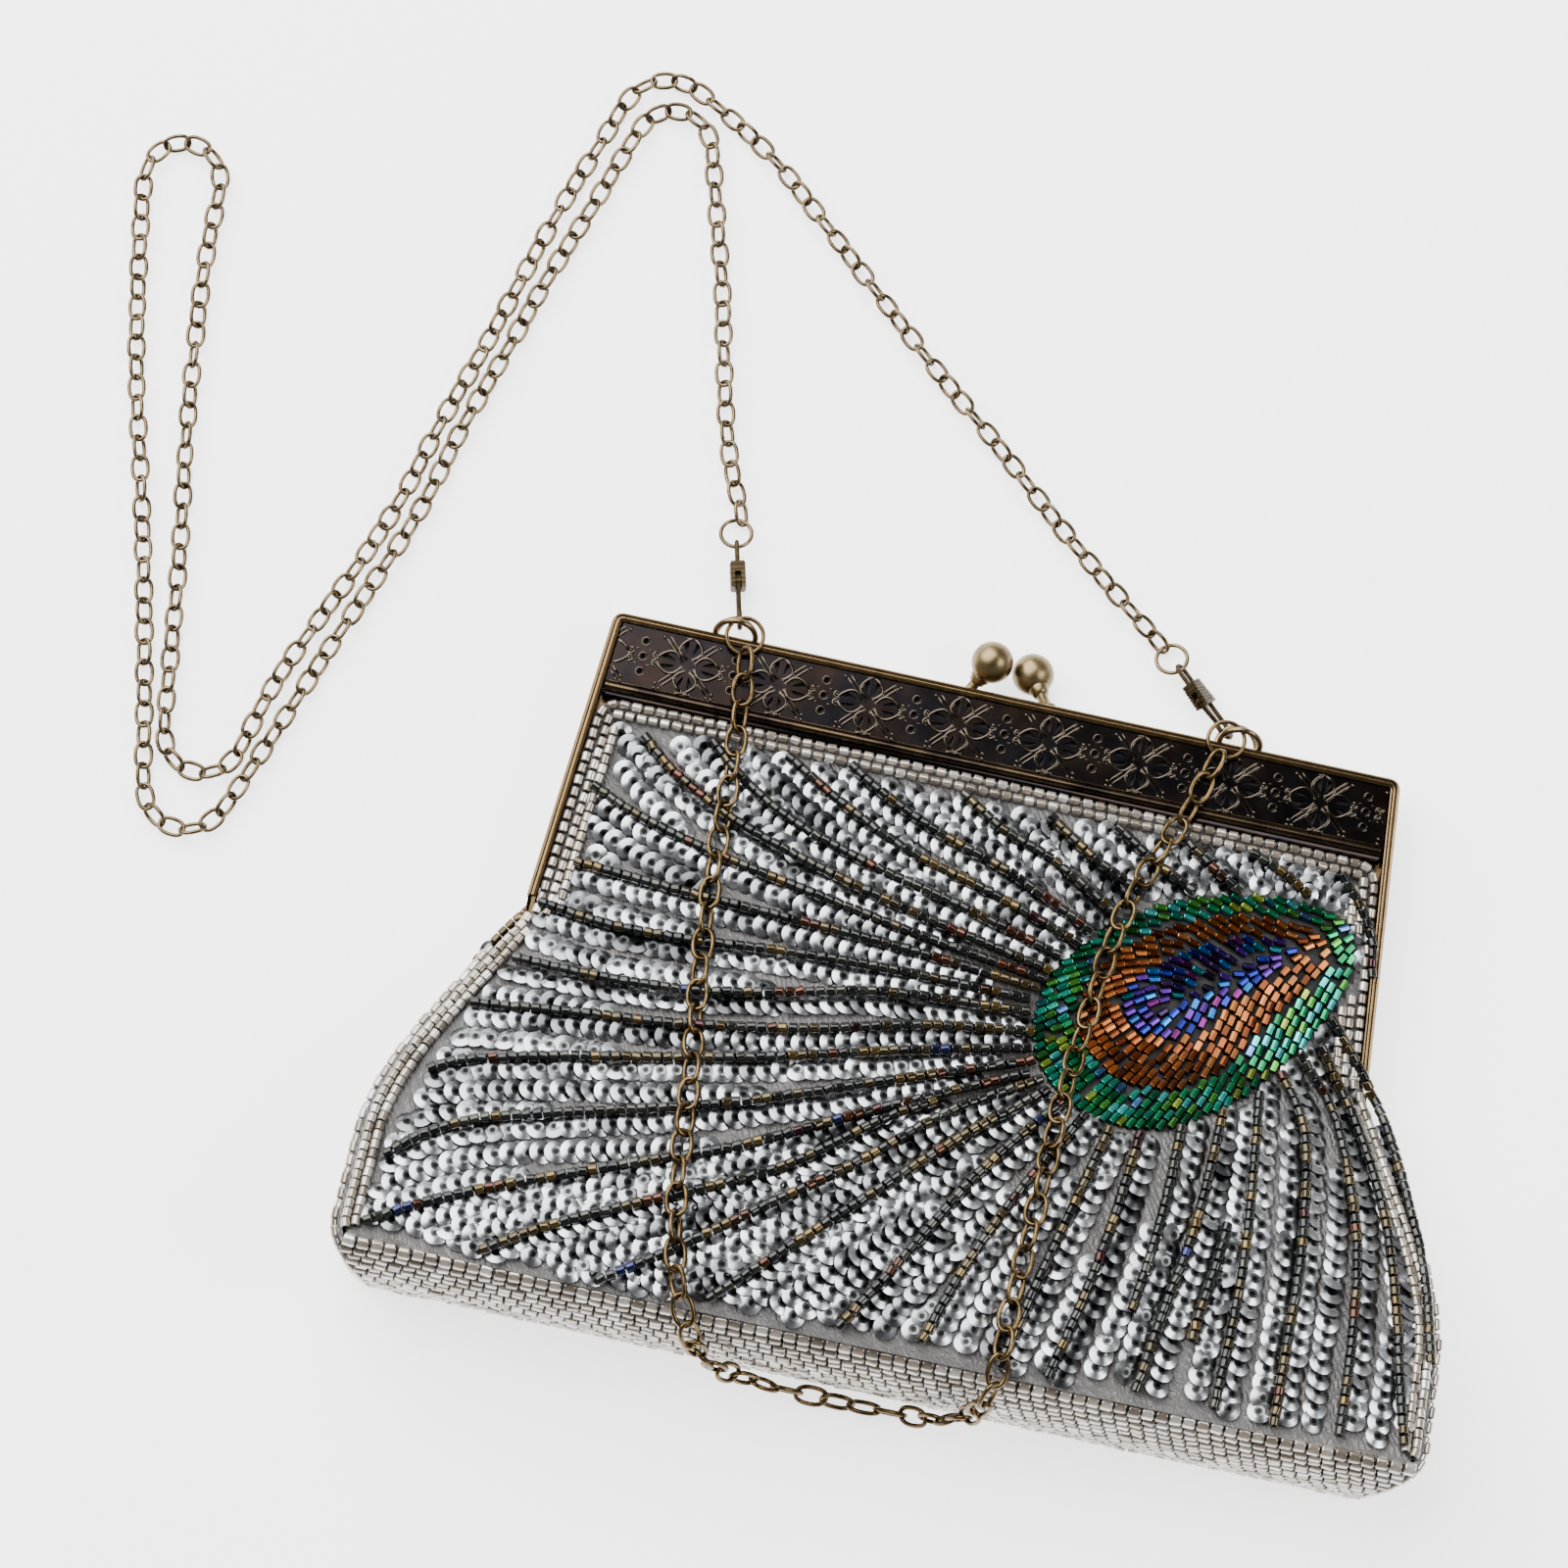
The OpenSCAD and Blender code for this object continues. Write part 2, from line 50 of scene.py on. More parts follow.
# ---- camera
TILT, ROLL = math.radians(11.04), math.radians(12.19)
LOOK_AT, DISTANCE = np.array([-47.35, 44.38, 10.0]), 1128.3
out = np.array([0, -math.sin(TILT), math.cos(TILT)])
right = np.array([1.0, 0, 0])
up = np.cross(out, right)
right, up = right * math.cos(ROLL) + up * math.sin(ROLL), up * math.cos(ROLL) - right * math.sin(ROLL)
eye_at = (LOOK_AT + DISTANCE * out) * MM
cam = bpy.data.objects.new("camera", bpy.data.cameras.new("camera"))
cam.data.lens = 110
cam.data.clip_end = 20
cam.matrix_world = Matrix([[*map(float, row), float(p)] for row, p in
    zip(np.stack([right, up, out], 1), eye_at)] + [[0, 0, 0, 1]])
bpy.context.scene.collection.objects.link(cam)
bpy.context.scene.camera = cam

# ---- the bag's shape, in millimetres
FRAME_H, HALF_TOP, LEAN, RIM = 76.0, 95.0, 6.0, 2.2
DROP, SIDE_Z, BASE_DEPTH, CROWN, MOUTH_Y = 89.0, 11.5, 42.5, 14.0, 55.4
SEAM_Y, SEAM_Z = -83.7, 40.0
CLOSE_Z, FRONT_Z0, PLATE_Z = 7.0, 7.3, 11.2
REAR_FACE, REAR_TOP = 1.3, 2.4


def clamp01(t):
    return np.clip(t, 0, 1)


def smooth(t):
    c = clamp01(t)
    return c * c * (3 - 2 * c)


def frame_half(y):
    return HALF_TOP + LEAN * (FRAME_H - y) / FRAME_H


def half_w(y):
    y = np.asarray(y, float)
    corner = 115 + np.sqrt(np.maximum(0, 100 - (-79 - y) ** 2))
    return np.where(y < -79, corner, np.where(y < 21, 125 - 28 * smooth((y + 59) / 80),
        97 - 4 * (y - 21) / (MOUTH_Y - 19)))


def side_z(y):
    return SIDE_Z + (BASE_DEPTH - SIDE_Z) * clamp01(-np.asarray(y, float) / DROP) ** 1.1


def crown(y):
    t = clamp01((MOUTH_Y + 1 - np.asarray(y, float)) / (MOUTH_Y + 1 + DROP))
    return CROWN * np.maximum(0, np.sin(np.pi * t)) ** 0.8


def front_z(x, y):
    return side_z(y) + crown(y) * (1 - np.minimum(1, np.abs(x) / half_w(y)) ** 2.4)


def panel_half(y):
    y = np.asarray(y, float)
    k = smooth((y + 8) / 16)
    top_corner = 5 - np.sqrt(np.maximum(0, 25 - np.maximum(0, y - MOUTH_Y + 5) ** 2))
    return k * (frame_half(y) - RIM - 0.4) + (1 - k) * (half_w(y) - 2.2) - top_corner


def base_y(z):
    return -DROP + 5.3 * clamp01(np.asarray(z, float) / SEAM_Z) ** 2.5


def unit(v):
    return v / np.maximum(np.linalg.norm(v, axis=-1, keepdims=True), 1e-9)


class Front:
    """The front panel's outer surface, where the embroidery lies."""
    mirror, loose, dark_height, border_height = [1, 1], 1.0, 1.35, 0.45

    @staticmethod
    def point(p):
        return np.column_stack([p, front_z(p[:, 0], p[:, 1])])

    @staticmethod
    def normal(p):
        e = 0.5
        gx = (front_z(p[:, 0] + e, p[:, 1]) - front_z(p[:, 0] - e, p[:, 1])) / (2 * e)
        gy = (front_z(p[:, 0], p[:, 1] + e) - front_z(p[:, 0], p[:, 1] - e)) / (2 * e)
        return unit(np.column_stack([-gx, -gy, np.ones(len(p))]))


class Rear:
    """The flat rear panel: the same pattern, turned over so that it reads the same from behind."""
    mirror, loose, dark_height, border_height = [-1, 1], 0.2, 0.0, 0.13

    @staticmethod
    def point(p):
        return np.column_stack([-p[:, 0], p[:, 1], np.full(len(p), REAR_FACE)])

    @staticmethod
    def normal(p):
        return np.tile([0.0, 0, -1], (len(p), 1))


# ---- materials
def node(tree, kind, **values):
    """A new shader node with these values on its sockets; _ stands for a space in a socket's name."""
    made = tree.nodes.new("ShaderNode" + kind)
    for key, value in values.items():
        made.inputs[key.replace("_", " ")].default_value = value
    return made


def material(name, color, metallic=0.0, rough=0.4, vary=0.15, scale=400.0, bump=0.1, depth=0.0001,
        coat=0.0, sheen=0.0, tint=False, patina=None, weave=None, spec=0.5):
    """A surface with noise in its colour, roughness and relief. tint takes each bead's own colour; patina is
    a second colour, and between which noise levels it comes in."""
    m = bpy.data.materials.new(name)
    m.use_nodes = True
    tree = m.node_tree
    bsdf = tree.nodes["Principled BSDF"]
    for key, value in (("Metallic", metallic), ("Coat Weight", coat), ("Coat Roughness", 0.08),
            ("Sheen Weight", sheen), ("Specular IOR Level", spec)):
        bsdf.inputs[key].default_value = value
    place = node(tree, "TexCoord").outputs["Object"]
    noise = node(tree, "TexNoise", Scale=scale, Detail=5)
    height = noise.outputs["Fac"]
    shade = node(tree, "HueSaturation", Color=(*color, 1))
    value = node(tree, "MapRange", To_Min=1 - vary, To_Max=1 + vary)
    gloss = node(tree, "MapRange", To_Min=max(0.02, rough * 0.75), To_Max=min(1, rough * 1.3))
    relief = node(tree, "Bump", Strength=bump, Distance=depth)
    links = [(place, noise, "Vector"), (height, value, "Value"), (height, gloss, "Value")]
    if tint:
        own = node(tree, "Attribute")
        own.attribute_name = "tint"
        links += [(own.outputs["Color"], shade, "Color")]
    if patina:
        ramp = node(tree, "MapRange", From_Min=patina[3], From_Max=patina[4])
        coarse = node(tree, "TexNoise", Scale=scale * 0.4, Detail=6)
        aged = node(tree, "Mix")
        aged.data_type = "RGBA"
        aged.inputs[6].default_value, aged.inputs[7].default_value = (*color, 1), (*patina[:3], 1)
        links += [(place, coarse, "Vector"), (coarse.outputs["Fac"], ramp, "Value"),
            (ramp.outputs["Result"], aged, "Factor"), (aged.outputs[2], shade, "Color")]
    if weave:
        wave = node(tree, "TexWave", Scale=weave, Distortion=7, Detail=3)
        wave.bands_direction = "DIAGONAL"
        height = wave.outputs["Fac"]
        links += [(place, wave, "Vector")]
    links += [(value.outputs["Result"], shade, "Value"), (shade.outputs["Color"], bsdf, "Base Color"),
        (gloss.outputs["Result"], bsdf, "Roughness"), (height, relief, "Height"),
        (relief.outputs["Normal"], bsdf, "Normal")]
    for output, to, socket in links:
        tree.links.new(output, to.inputs[socket])
    return m


BRASS = material("antique brass", (0.17, 0.118, 0.06), 1, 0.24, 0.12, 600, 0.06, 0.00005,
    patina=(0.1, 0.066, 0.032, 0.5, 0.8))
CHAIN = material("chain brass", (0.15, 0.11, 0.062), 1, 0.24, 0.2, 1100, 0.12, 0.00005,
    patina=(0.06, 0.042, 0.023, 0.45, 0.7))
COPPERY = material("dark chain brass", (0.125, 0.083, 0.036), 1, 0.24, 0.25, 1100, 0.15, 0.00006,
    patina=(0.045, 0.028, 0.012, 0.45, 0.68))
BALL = material("brushed brass", (0.2, 0.15, 0.078), 1, 0.34, 0.14, 700, 0.25, 0.00006,
    patina=(0.1, 0.07, 0.034, 0.45, 0.75))
HOOK = material("hook brass", (0.06, 0.043, 0.022), 1, 0.5, 0.2, 900, 0.2, 0.00008,
    patina=(0.03, 0.02, 0.01, 0.45, 0.7))
PLATE = material("dark bronze", (0.013, 0.012, 0.014), 1, 0.2, 0.35, 160, 0.15, 0.00008,
    patina=(0.026, 0.017, 0.013, 0.42, 0.68))
# the ridges' lighter bronze is partly worn high points and partly a painted highlight
RIDGE = material("worn and highlit bronze", (0.062, 0.05, 0.038), 1, 0.16, 0.35, 500, 0.1, 0.00005)
# the lip's roll is lighter than the plate as a painted highlight
ROLL = material("highlit rolled bronze", (0.075, 0.052, 0.03), 1, 0.2, 0.35, 160, 0.15, 0.00006,
    patina=(0.022, 0.016, 0.014, 0.45, 0.6))
# a near-black sheet behind the pierced plate: painted shade in its holes
SHADE_BACKING = material("painted shade backing", (0.008, 0.007, 0.007), 0.2, 0.6, 0.3, 500, 0.2, 0.00008)
SEQUIN = material("silver sequin", (0.86, 0.87, 0.89), 1, 0.27, 0.08, 900, 0.12, 0.00004, tint=True)
DARK = material("dark bead", (0.1, 0.09, 0.07), 0.8, 0.11, 0.3, 900, 0.1, 0.00004, coat=0.35, tint=True)
JEWEL = material("coloured bead", (0.1, 0.4, 0.3), 0.88, 0.2, 0.35, 700, 0.1, 0.00004, coat=0.04, tint=True,
    spec=0.2)
CLEAR = material("clear bead", (0.75, 0.72, 0.68), 0.6, 0.14, 0.25, 900, 0.1, 0.00004, coat=0.7, tint=True)
CLOTH = material("satin cloth", (0.125, 0.12, 0.117), 0.0, 0.36, 0.25, 900, 0.8, 0.0005, sheen=0.1, weave=420)
# near-black cloth under the eye motif and in a ring round it: painted shade in the gaps between its beads
EYE_SHADE_GROUND = material("painted shade under eye", (0.012, 0.012, 0.012), 0.0, 0.7, 0.3, 1500, 0.5, 0.0002)
LINING = material("lining satin", (0.2, 0.19, 0.19), 0.0, 0.42, 0.08, 120, 0.4, 0.0006, sheen=0.2)
BOARD = material("board", (0.2, 0.14, 0.08), 0.0, 0.8, 0.15, 500, 0.3, 0.0001)
STEEL = material("spring steel", (0.4, 0.4, 0.42), 1, 0.3, 0.1, 900, 0.1, 0.00004)
FLOOR = material("floor", (0.96, 0.96, 0.96), 0.0, 0.7, 0.01, 3, 0.02, 0.0001)


# ---- mesh building
def build(name, verts, faces, mats, slots=None, tints=None, sharp=None):
    """A mesh from points in millimetres. slots picks each face's material, tints each point's colour."""
    mesh = bpy.data.meshes.new(name)
    mesh.from_pydata((np.asarray(verts, float) * MM).tolist(), [],
        faces.tolist() if isinstance(faces, np.ndarray) else faces)
    for m in mats if isinstance(mats, (list, tuple)) else [mats]:
        mesh.materials.append(m)
    if slots is not None:
        mesh.polygons.foreach_set("material_index", np.asarray(slots, np.int32))
    if tints is not None:
        layer = mesh.attributes.new("tint", "FLOAT_COLOR", "POINT")
        rgba = np.ones((len(mesh.vertices), 4), np.float32)
        rgba[:, :3] = tints
        layer.data.foreach_set("color", rgba.ravel())
    mesh.shade_smooth()
    if sharp:
        mesh.set_sharp_from_angle(angle=math.radians(sharp))
    mesh.update()
    obj = bpy.data.objects.new(name, mesh)
    bpy.context.scene.collection.objects.link(obj)
    return obj


def attach(obj, body, slot, *nodes):
    """Puts a piece on its body, or bakes its place into its points if body is BENDS. Hides the CAD nodes that
    it stands for; slot is not used."""
    if body == BENDS:
        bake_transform(obj)
    else:
        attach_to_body(obj, body)
    if nodes:
        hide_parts(*nodes)


class Parts:
    """Gathers quads from many small shapes into one mesh."""

    def __init__(self):
        self.v, self.f, self.slot, self.tint, self.n = [], [], [], [], 0

    def add(self, shape, slot=0, tint=(1, 1, 1)):
        v, f = shape
        v, f = np.asarray(v, float), np.asarray(f, int)
        self.v.append(v)
        self.f.append(f + self.n)
        self.slot.append(np.full(len(f), slot))
        self.tint.append(np.broadcast_to(np.asarray(tint, float), v.shape))
        self.n += len(v)

    def stamps(self, base, at, axes, tints=(1, 1, 1)):
        """Copies of base, its points and faces: at (m, 3) points, axes (m, 3, 3) whose columns are its own
        x, y and z. A third entry of base is painted shade: it darkens the copies' own colour point by point."""
        v, f, *own = base
        shade = own[0] if own else np.ones(len(v))
        m, k = len(at), len(v)
        placed = np.einsum("mij,nj->mni", axes, v) + at[:, None, :]
        faces = f[None] + (np.arange(m) * k)[:, None, None]
        tints = np.repeat(np.broadcast_to(np.asarray(tints, float), (m, 3)), k, 0) * np.tile(shade, m)[:, None]
        self.add((placed.reshape(-1, 3), faces.reshape(-1, f.shape[1])), tint=tints)

    def joined(self):
        """Points, faces, slots and tints."""
        return [np.concatenate(part) for part in (self.v, self.f, self.slot, self.tint)]

    def make(self, name, mats, sharp=None):
        v, f, slots, tints = self.joined()
        return build(name, v, f, mats, slots, tints, sharp)


def grid_faces(nu, nv, closed_u=False):
    """Quads of a grid whose points run u fastest."""
    i, j = np.meshgrid(np.arange(nu if closed_u else nu - 1), np.arange(nv - 1))
    i, j = i.ravel(), j.ravel()
    k = (i + 1) % nu
    return np.stack([j * nu + i, j * nu + k, (j + 1) * nu + k, (j + 1) * nu + i], 1)


def revolve(profile, sides, axis="x"):
    """Profile points (along, radius) turned round the axis."""
    a = np.arange(sides) * 2 * np.pi / sides
    rows = [[(s, r * math.cos(t), r * math.sin(t)) for t in a] for s, r in profile]
    v = np.array(rows).reshape(-1, 3)
    if axis == "z":
        v = v[:, [1, 2, 0]]
    return v, grid_faces(sides, len(profile), True)


def sweep(path, radius, sides=8, closed=False, flat=1.0, up_hint=(0.1, 0.1, 1)):
    """A tube along a path, or closed round a loop; flat squeezes it across the up direction."""
    p = np.asarray(path, float)
    n = len(p)
    ahead = np.roll(p, -1, 0) - np.roll(p, 1, 0)
    if not closed:
        ahead[0], ahead[-1] = p[1] - p[0], p[-1] - p[-2]
    t = unit(ahead)
    side = unit(np.cross(t, np.asarray(up_hint, float)))
    top = np.cross(side, t)
    a = np.arange(sides) * 2 * np.pi / sides
    r = np.broadcast_to(np.asarray(radius, float), (n,))[:, None, None]
    v = p[:, None] + r * (np.cos(a)[None, :, None] * side[:, None] +
        flat * np.sin(a)[None, :, None] * top[:, None])
    v = v.reshape(-1, 3)
    f = grid_faces(sides, n, True)
    if closed:
        i = np.arange(sides)
        k = (i + 1) % sides
        f = np.concatenate([f, np.stack([(n - 1) * sides + i, (n - 1) * sides + k, k, i], 1)])
    return v, f


def spline(p, steps):
    """Points of a smooth curve through all of p but its two ends, so many to each span."""
    t = np.linspace(0, 1, steps, endpoint=False)[:, None]
    return np.concatenate([0.5 * (2 * b + (c - a) * t + (2 * a - 5 * b + 4 * c - d) * t ** 2
        + (3 * b - a - 3 * c + d) * t ** 3)
        for a, b, c, d in zip(p, p[1:], p[2:], p[3:])])


def run_of(line):
    """How far along the line each of its points lies."""
    return np.concatenate([[0], np.cumsum(np.linalg.norm(np.diff(line, axis=0), axis=1))])


def points_at(line, offsets):
    """Points at the given lengths along a line."""
    s = run_of(line)
    return np.column_stack([np.interp(offsets, s, column) for column in line.T])


def curve_through(points, step=0.5):
    """A smooth line through the points, sampled every step millimetres."""
    p = np.asarray(points, float)
    p = np.concatenate([[2 * p[0] - p[1]], p, [2 * p[-1] - p[-2]]])
    fine = np.concatenate([spline(p, 24), [p[-2]]])
    total = run_of(fine)[-1]
    return points_at(fine, np.linspace(0, total, max(2, int(round(total / step)) + 1)))


def along(line, offsets):
    """Points and directions at the given lengths along a line."""
    eps = 0.4
    return points_at(line, offsets), unit(points_at(line, offsets + eps) - points_at(line, offsets - eps))


def length_of(line):
    return float(np.linalg.norm(np.diff(line, axis=0), axis=1).sum())


def spaced(line, n):
    """n points and directions, evenly spread along a line."""
    return along(line, (np.arange(n) + 0.5) * length_of(line) / n)


def turn_about(axis, angle, v):
    """Each v turned about its own axis by its own angle, in radians."""
    angle = np.asarray(angle, float)
    c, s = np.cos(angle)[:, None], np.sin(angle)[:, None]
    return v * c + np.cross(axis, v) * s + axis * (axis * v).sum(1, keepdims=True) * (1 - c)


def axes_from(x, z):
    """Right-handed axes: x kept, z squared up to it."""
    y = unit(np.cross(z, x))
    return np.stack([x, y, np.cross(x, y)], 2)


# ---- chains
def link_shape(length, width, wire):
    """One oval link, its sides a little flattened."""
    t = np.linspace(0, 2 * np.pi, 28, endpoint=False)
    c, s = np.cos(t), np.sin(t)
    path = np.column_stack([(length - wire) / 2 * np.sign(c) * np.abs(c) ** 0.84,
        (width - wire) / 2 * np.sign(s) * np.abs(s) ** 0.84, 0 * t])
    return sweep(path, wire / 2, 8, closed=True)


def chain(name, line, mat, length, width, wire, up_at, flat_roll, side_roll):
    """Interlocked links along a line, alternately standing and lying; both end links stand."""
    pitch = length - 2 * wire
    count = int(length_of(line) // pitch) | 1
    at, ahead = spaced(line, count)
    z = np.cross(ahead, unit(np.cross(up_at(at), ahead)))
    standing = np.arange(count) % 2 == 0
    roll = np.where(standing, np.radians(side_roll), np.radians(flat_roll))
    roll = roll * np.where(np.arange(count) % 4 < 2, 1, -1) + rng.normal(0, 0.12, count)
    z = turn_about(ahead, roll, z)
    parts = Parts()
    parts.stamps(link_shape(length, width, wire), at, axes_from(ahead, z))
    return parts.make(name, mat)


def bend(cx, cy, r, start, end, n):
    """Points round a bend, from one angle to another."""
    a = np.radians(np.linspace(start, end, n + 1))
    return np.column_stack([cx + r * np.cos(a), cy + r * np.sin(a)]).tolist()


def eased(line, rounds):
    """The line with its kinks worked out and its ends kept."""
    for _ in range(rounds):
        line[1:-1] = line[1:-1] / 2 + (line[:-2] + line[2:]) / 4
    return line


long_route = (
    [[-71, 108], [-77, 122], [-82, 140], [-87, 161], [-92.5, 180]] + bend(-106.3, 194.5, 9.3, 17, 158, 5)
    + [[-122, 176], [-129, 155], [-135, 134], [-141, 114], [-146, 93], [-153, 73], [-160, 54], [-167, 34]]
    + bend(-185, 14.3, 10, -22, -168, 5)
    + [[-199, 31], [-206, 60], [-213, 86], [-220, 111], [-226, 139]] + bend(-220.3, 160.5, 9.3, 190, 4, 6)
    + [[-210, 138], [-205, 100], [-200, 72], [-195.8, 44]] + bend(-184, 27.6, 9.3, 190, 338, 5)
    + [[-170, 45], [-158, 75], [-151, 95], [-146, 115], [-140, 135], [-135, 154], [-129.5, 174], [-123.5, 192]]
    + bend(-108.8, 199.3, 11.8, 157, 52, 4)
    + [[-83, 197.5], [-66, 183], [-48, 167], [-31, 152], [-13, 137], [4, 122], [20, 109], [33, 99]])
LONG_Z = 2.4
long_line = eased(curve_through([[x, y, LONG_Z] for x, y in long_route]), 80)
into_rings = np.concatenate([[[-71.8, 105.9, LONG_Z]], long_line, [[34.9, 97.4, LONG_Z]]])
long_chain = chain("long_chain_links", into_rings, CHAIN, 7.0, 4.8, 1.0,
    lambda at: np.tile([0.0, 0, 1], (len(at), 1)), 8, 48)


def on_panel(points):
    return [[x, y, float(front_z(x, y)) + 3.0] for x, y in points]


short_line = curve_through(
    [[-62.5, 71, 15.4], [-61, 58, 15.4]]
    + on_panel([[-60, 43], [-59, 16], [-57, -8], [-54, -32], [-52, -55], [-49, -72], [-46, -81]])
    + [[-42, -89, 42], [-37, -93, 29], [-27, -94, 14], [-12, -94, 5], [4, -94, 4], [16, -94, 13],
    [23, -93, 29], [26, -89, 42]]
    + on_panel([[27, -81], [27, -70], [28, -53], [29, -36], [30, -18], [32, -1], [34, 17], [37, 32],
    [42, 46]])
    + [[47, 58, 15.4], [51, 71, 15.4]])


def short_up(at):
    """The chain lies on the panel, and hangs edge-on over the base."""
    over = smooth((-82 - at[:, 1]) / 9)[:, None]
    return unit(Front.normal(at[:, :2]) * (1 - over) + np.array([0, -1.0, 0.35]) * over)


into_rings = np.concatenate([[[-62.7, 72.8, 15.2]], short_line, [[51.5, 72.8, 15.2]]])
short_chain = chain("short_chain_links", into_rings, COPPERY, 8.6, 5.6, 1.15, short_up, 10, 50)
for obj, body, node_name, line, width in ((long_chain, ROOT, "long_chain", long_line, 0.0045),
        (short_chain, BENDS, "short_chain", short_line, 0.0054)):
    attach(obj, body, "antique_brass", node_name)


# ---- frame
ARM_FOOT, CORNER_R = 5.5, 2.8


def rounded_arch(inset, low):
    """The frame's outline from the foot of its left arm over the top to the foot of its right arm."""
    left_foot = np.array([-frame_half(low) + inset, low])
    left_top = np.array([-frame_half(FRAME_H) + inset, FRAME_H - inset])
    right_top, right_foot = left_top * [-1, 1], left_foot * [-1, 1]
    pts = [left_foot]
    for corner, before, after in ((left_top, left_foot, right_top), (right_top, left_top, right_foot)):
        a, b = unit(before - corner), unit(after - corner)
        r = max(0.3, CORNER_R - inset)
        pts += [corner + a * r * (1 - t) ** 2 + b * r * t ** 2 for t in np.linspace(0, 1, 7)]
    return np.array(pts + [right_foot])


def arch_strip(profile, low):
    """A strip along the frame's outline, with the profile's insets and heights."""
    rows = []
    for inset, z in profile:
        arch = rounded_arch(inset, low)
        rows.append(np.column_stack([arch, np.full(len(arch), z)]))
    return np.concatenate(rows), grid_faces(len(arch), len(rows))


def for_half(which, v, f):
    """The mesh as it is for the front half, and turned over about the closing plane for the rear half."""
    if which == "rear":
        v[:, 2] = 2 * CLOSE_Z - v[:, 2]
        f = [q[::-1] for q in f]
    return v, f


def rim_mesh(which):
    """The two-ridge rim, the flange inside it that the cloth is sewn to, and the ears it turns on."""
    profile = [(0.1, FRONT_Z0), (0, FRONT_Z0 + 0.2), (0, 9.3), (0.18, 9.55), (0, 9.8), (0, 12.6), (0.12, 12.95),
        (0.38, 13.18), (0.62, 13.12), (0.8, 12.78), (0.98, 13.1), (1.25, 13.2), (1.5, 13.08),
        (1.66, 12.72), (1.85, 12.95), (2.1, 12.9), (2.2, 12.6), (2.2, FRONT_Z0)]
    parts = Parts()
    parts.add(arch_strip(profile, ARM_FOOT))
    n = parts.n // len(profile)
    caps = [list(range(0, parts.n, n)), list(range(n - 1, parts.n, n))]
    parts.add(arch_strip([(1.5, 7.3), (7.2, 7.3), (7.2, 7.9), (1.5, 7.9)], ARM_FOOT + 3))
    for side in (-1, 1):
        x = side * (frame_half(ARM_FOOT) - (1.65 if which == "front" else 0.55))
        disc, df = revolve([(-0.45, 0.0), (-0.45, 3.2), (0.45, 3.2), (0.45, 0.0)], 32)
        parts.add((disc + [x, 0, CLOSE_Z], df))
        arm = np.array([[sx * 0.45, y, z] for z in (CLOSE_Z, CLOSE_Z + 4.9) for sx, y in
            ((-1, 1.2), (1, 1.2), (1, 6.6), (-1, 6.6))]) + [x, 0, 0]
        parts.add((arm, [[0, 1, 5, 4], [1, 2, 6, 5], [2, 3, 7, 6], [3, 0, 4, 7], [4, 5, 6, 7]]))
    v, f = parts.joined()[:2]
    return build(which + "_rim", *for_half(which, v, f.tolist() + caps), BRASS, sharp=50)


attach(rim_mesh("front"), FRONT, "antique_brass", "front_frame")
attach(rim_mesh("rear"), ROOT, "antique_brass", "rear_frame")


# ---- pierced plate
FIELD, FIELD_X0, PLATE_Y0, PLATE_MID, PLATE_Y1 = 21.8, 1.0, 59.4, 66.8, 73.8
holes = []


def arc_points(cx, cy, r, n, a0=0.0, a1=2 * math.pi):
    return [(cx + r * math.cos(a), cy + r * math.sin(a)) for a in np.linspace(a0, a1, n, endpoint=a1 < 6.2)]


def petal_edge(reach, sign):
    """One side of a petal that opens from the flower's middle."""
    t = np.linspace(0, 1, 12)
    return np.column_stack([1.6 + (reach - 1.6) * t, sign * (0.35 + 2.35 * np.sin(np.pi * t ** 0.8) ** 0.8)])


LEAF = np.array([(2.9, 0.55), (3.9, 0.5), (5.2, 0.6), (6.3, 0.75), (6.9, 1.15), (6.8, 1.7), (6.1, 1.95),
    (5.0, 1.75), (3.9, 1.2)])
ridges = Parts()
plate_top = PLATE_Z + 1.0
x_edge = frame_half(66) - RIM - 0.3


def inside_plate(p, room=0.5):
    return abs(p[0]) < x_edge - room and PLATE_Y0 + room * 0.6 < p[1] < PLATE_Y1 - room * 0.6


def ridge(points, r, height=0.8):
    pts = [p for p in points if inside_plate(p, 0.35)]
    if len(pts) > 2:
        line = np.array([[x, y, plate_top] for x, y in pts])
        ends = np.full(len(line), r)
        ends[0] = ends[-1] = r * 0.45
        ridges.add(sweep(line, ends, 8, flat=height))


def dot(x, y, r):
    if inside_plate((x, y), r):
        t = np.linspace(0, np.pi / 2, 5)
        v, f = revolve([(r * 0.8 * math.cos(a), max(r * math.sin(a), 0.01)) for a in t], 12, "z")
        ridges.add((v + [x, y, plate_top - 0.05], f))


def turn(points, angle, cx):
    """Points about a flower's middle, turned and moved to its field."""
    c, s = math.cos(angle), math.sin(angle)
    return np.array(points, float) @ np.array([[c, s], [-s, c]]) + [cx, PLATE_MID]


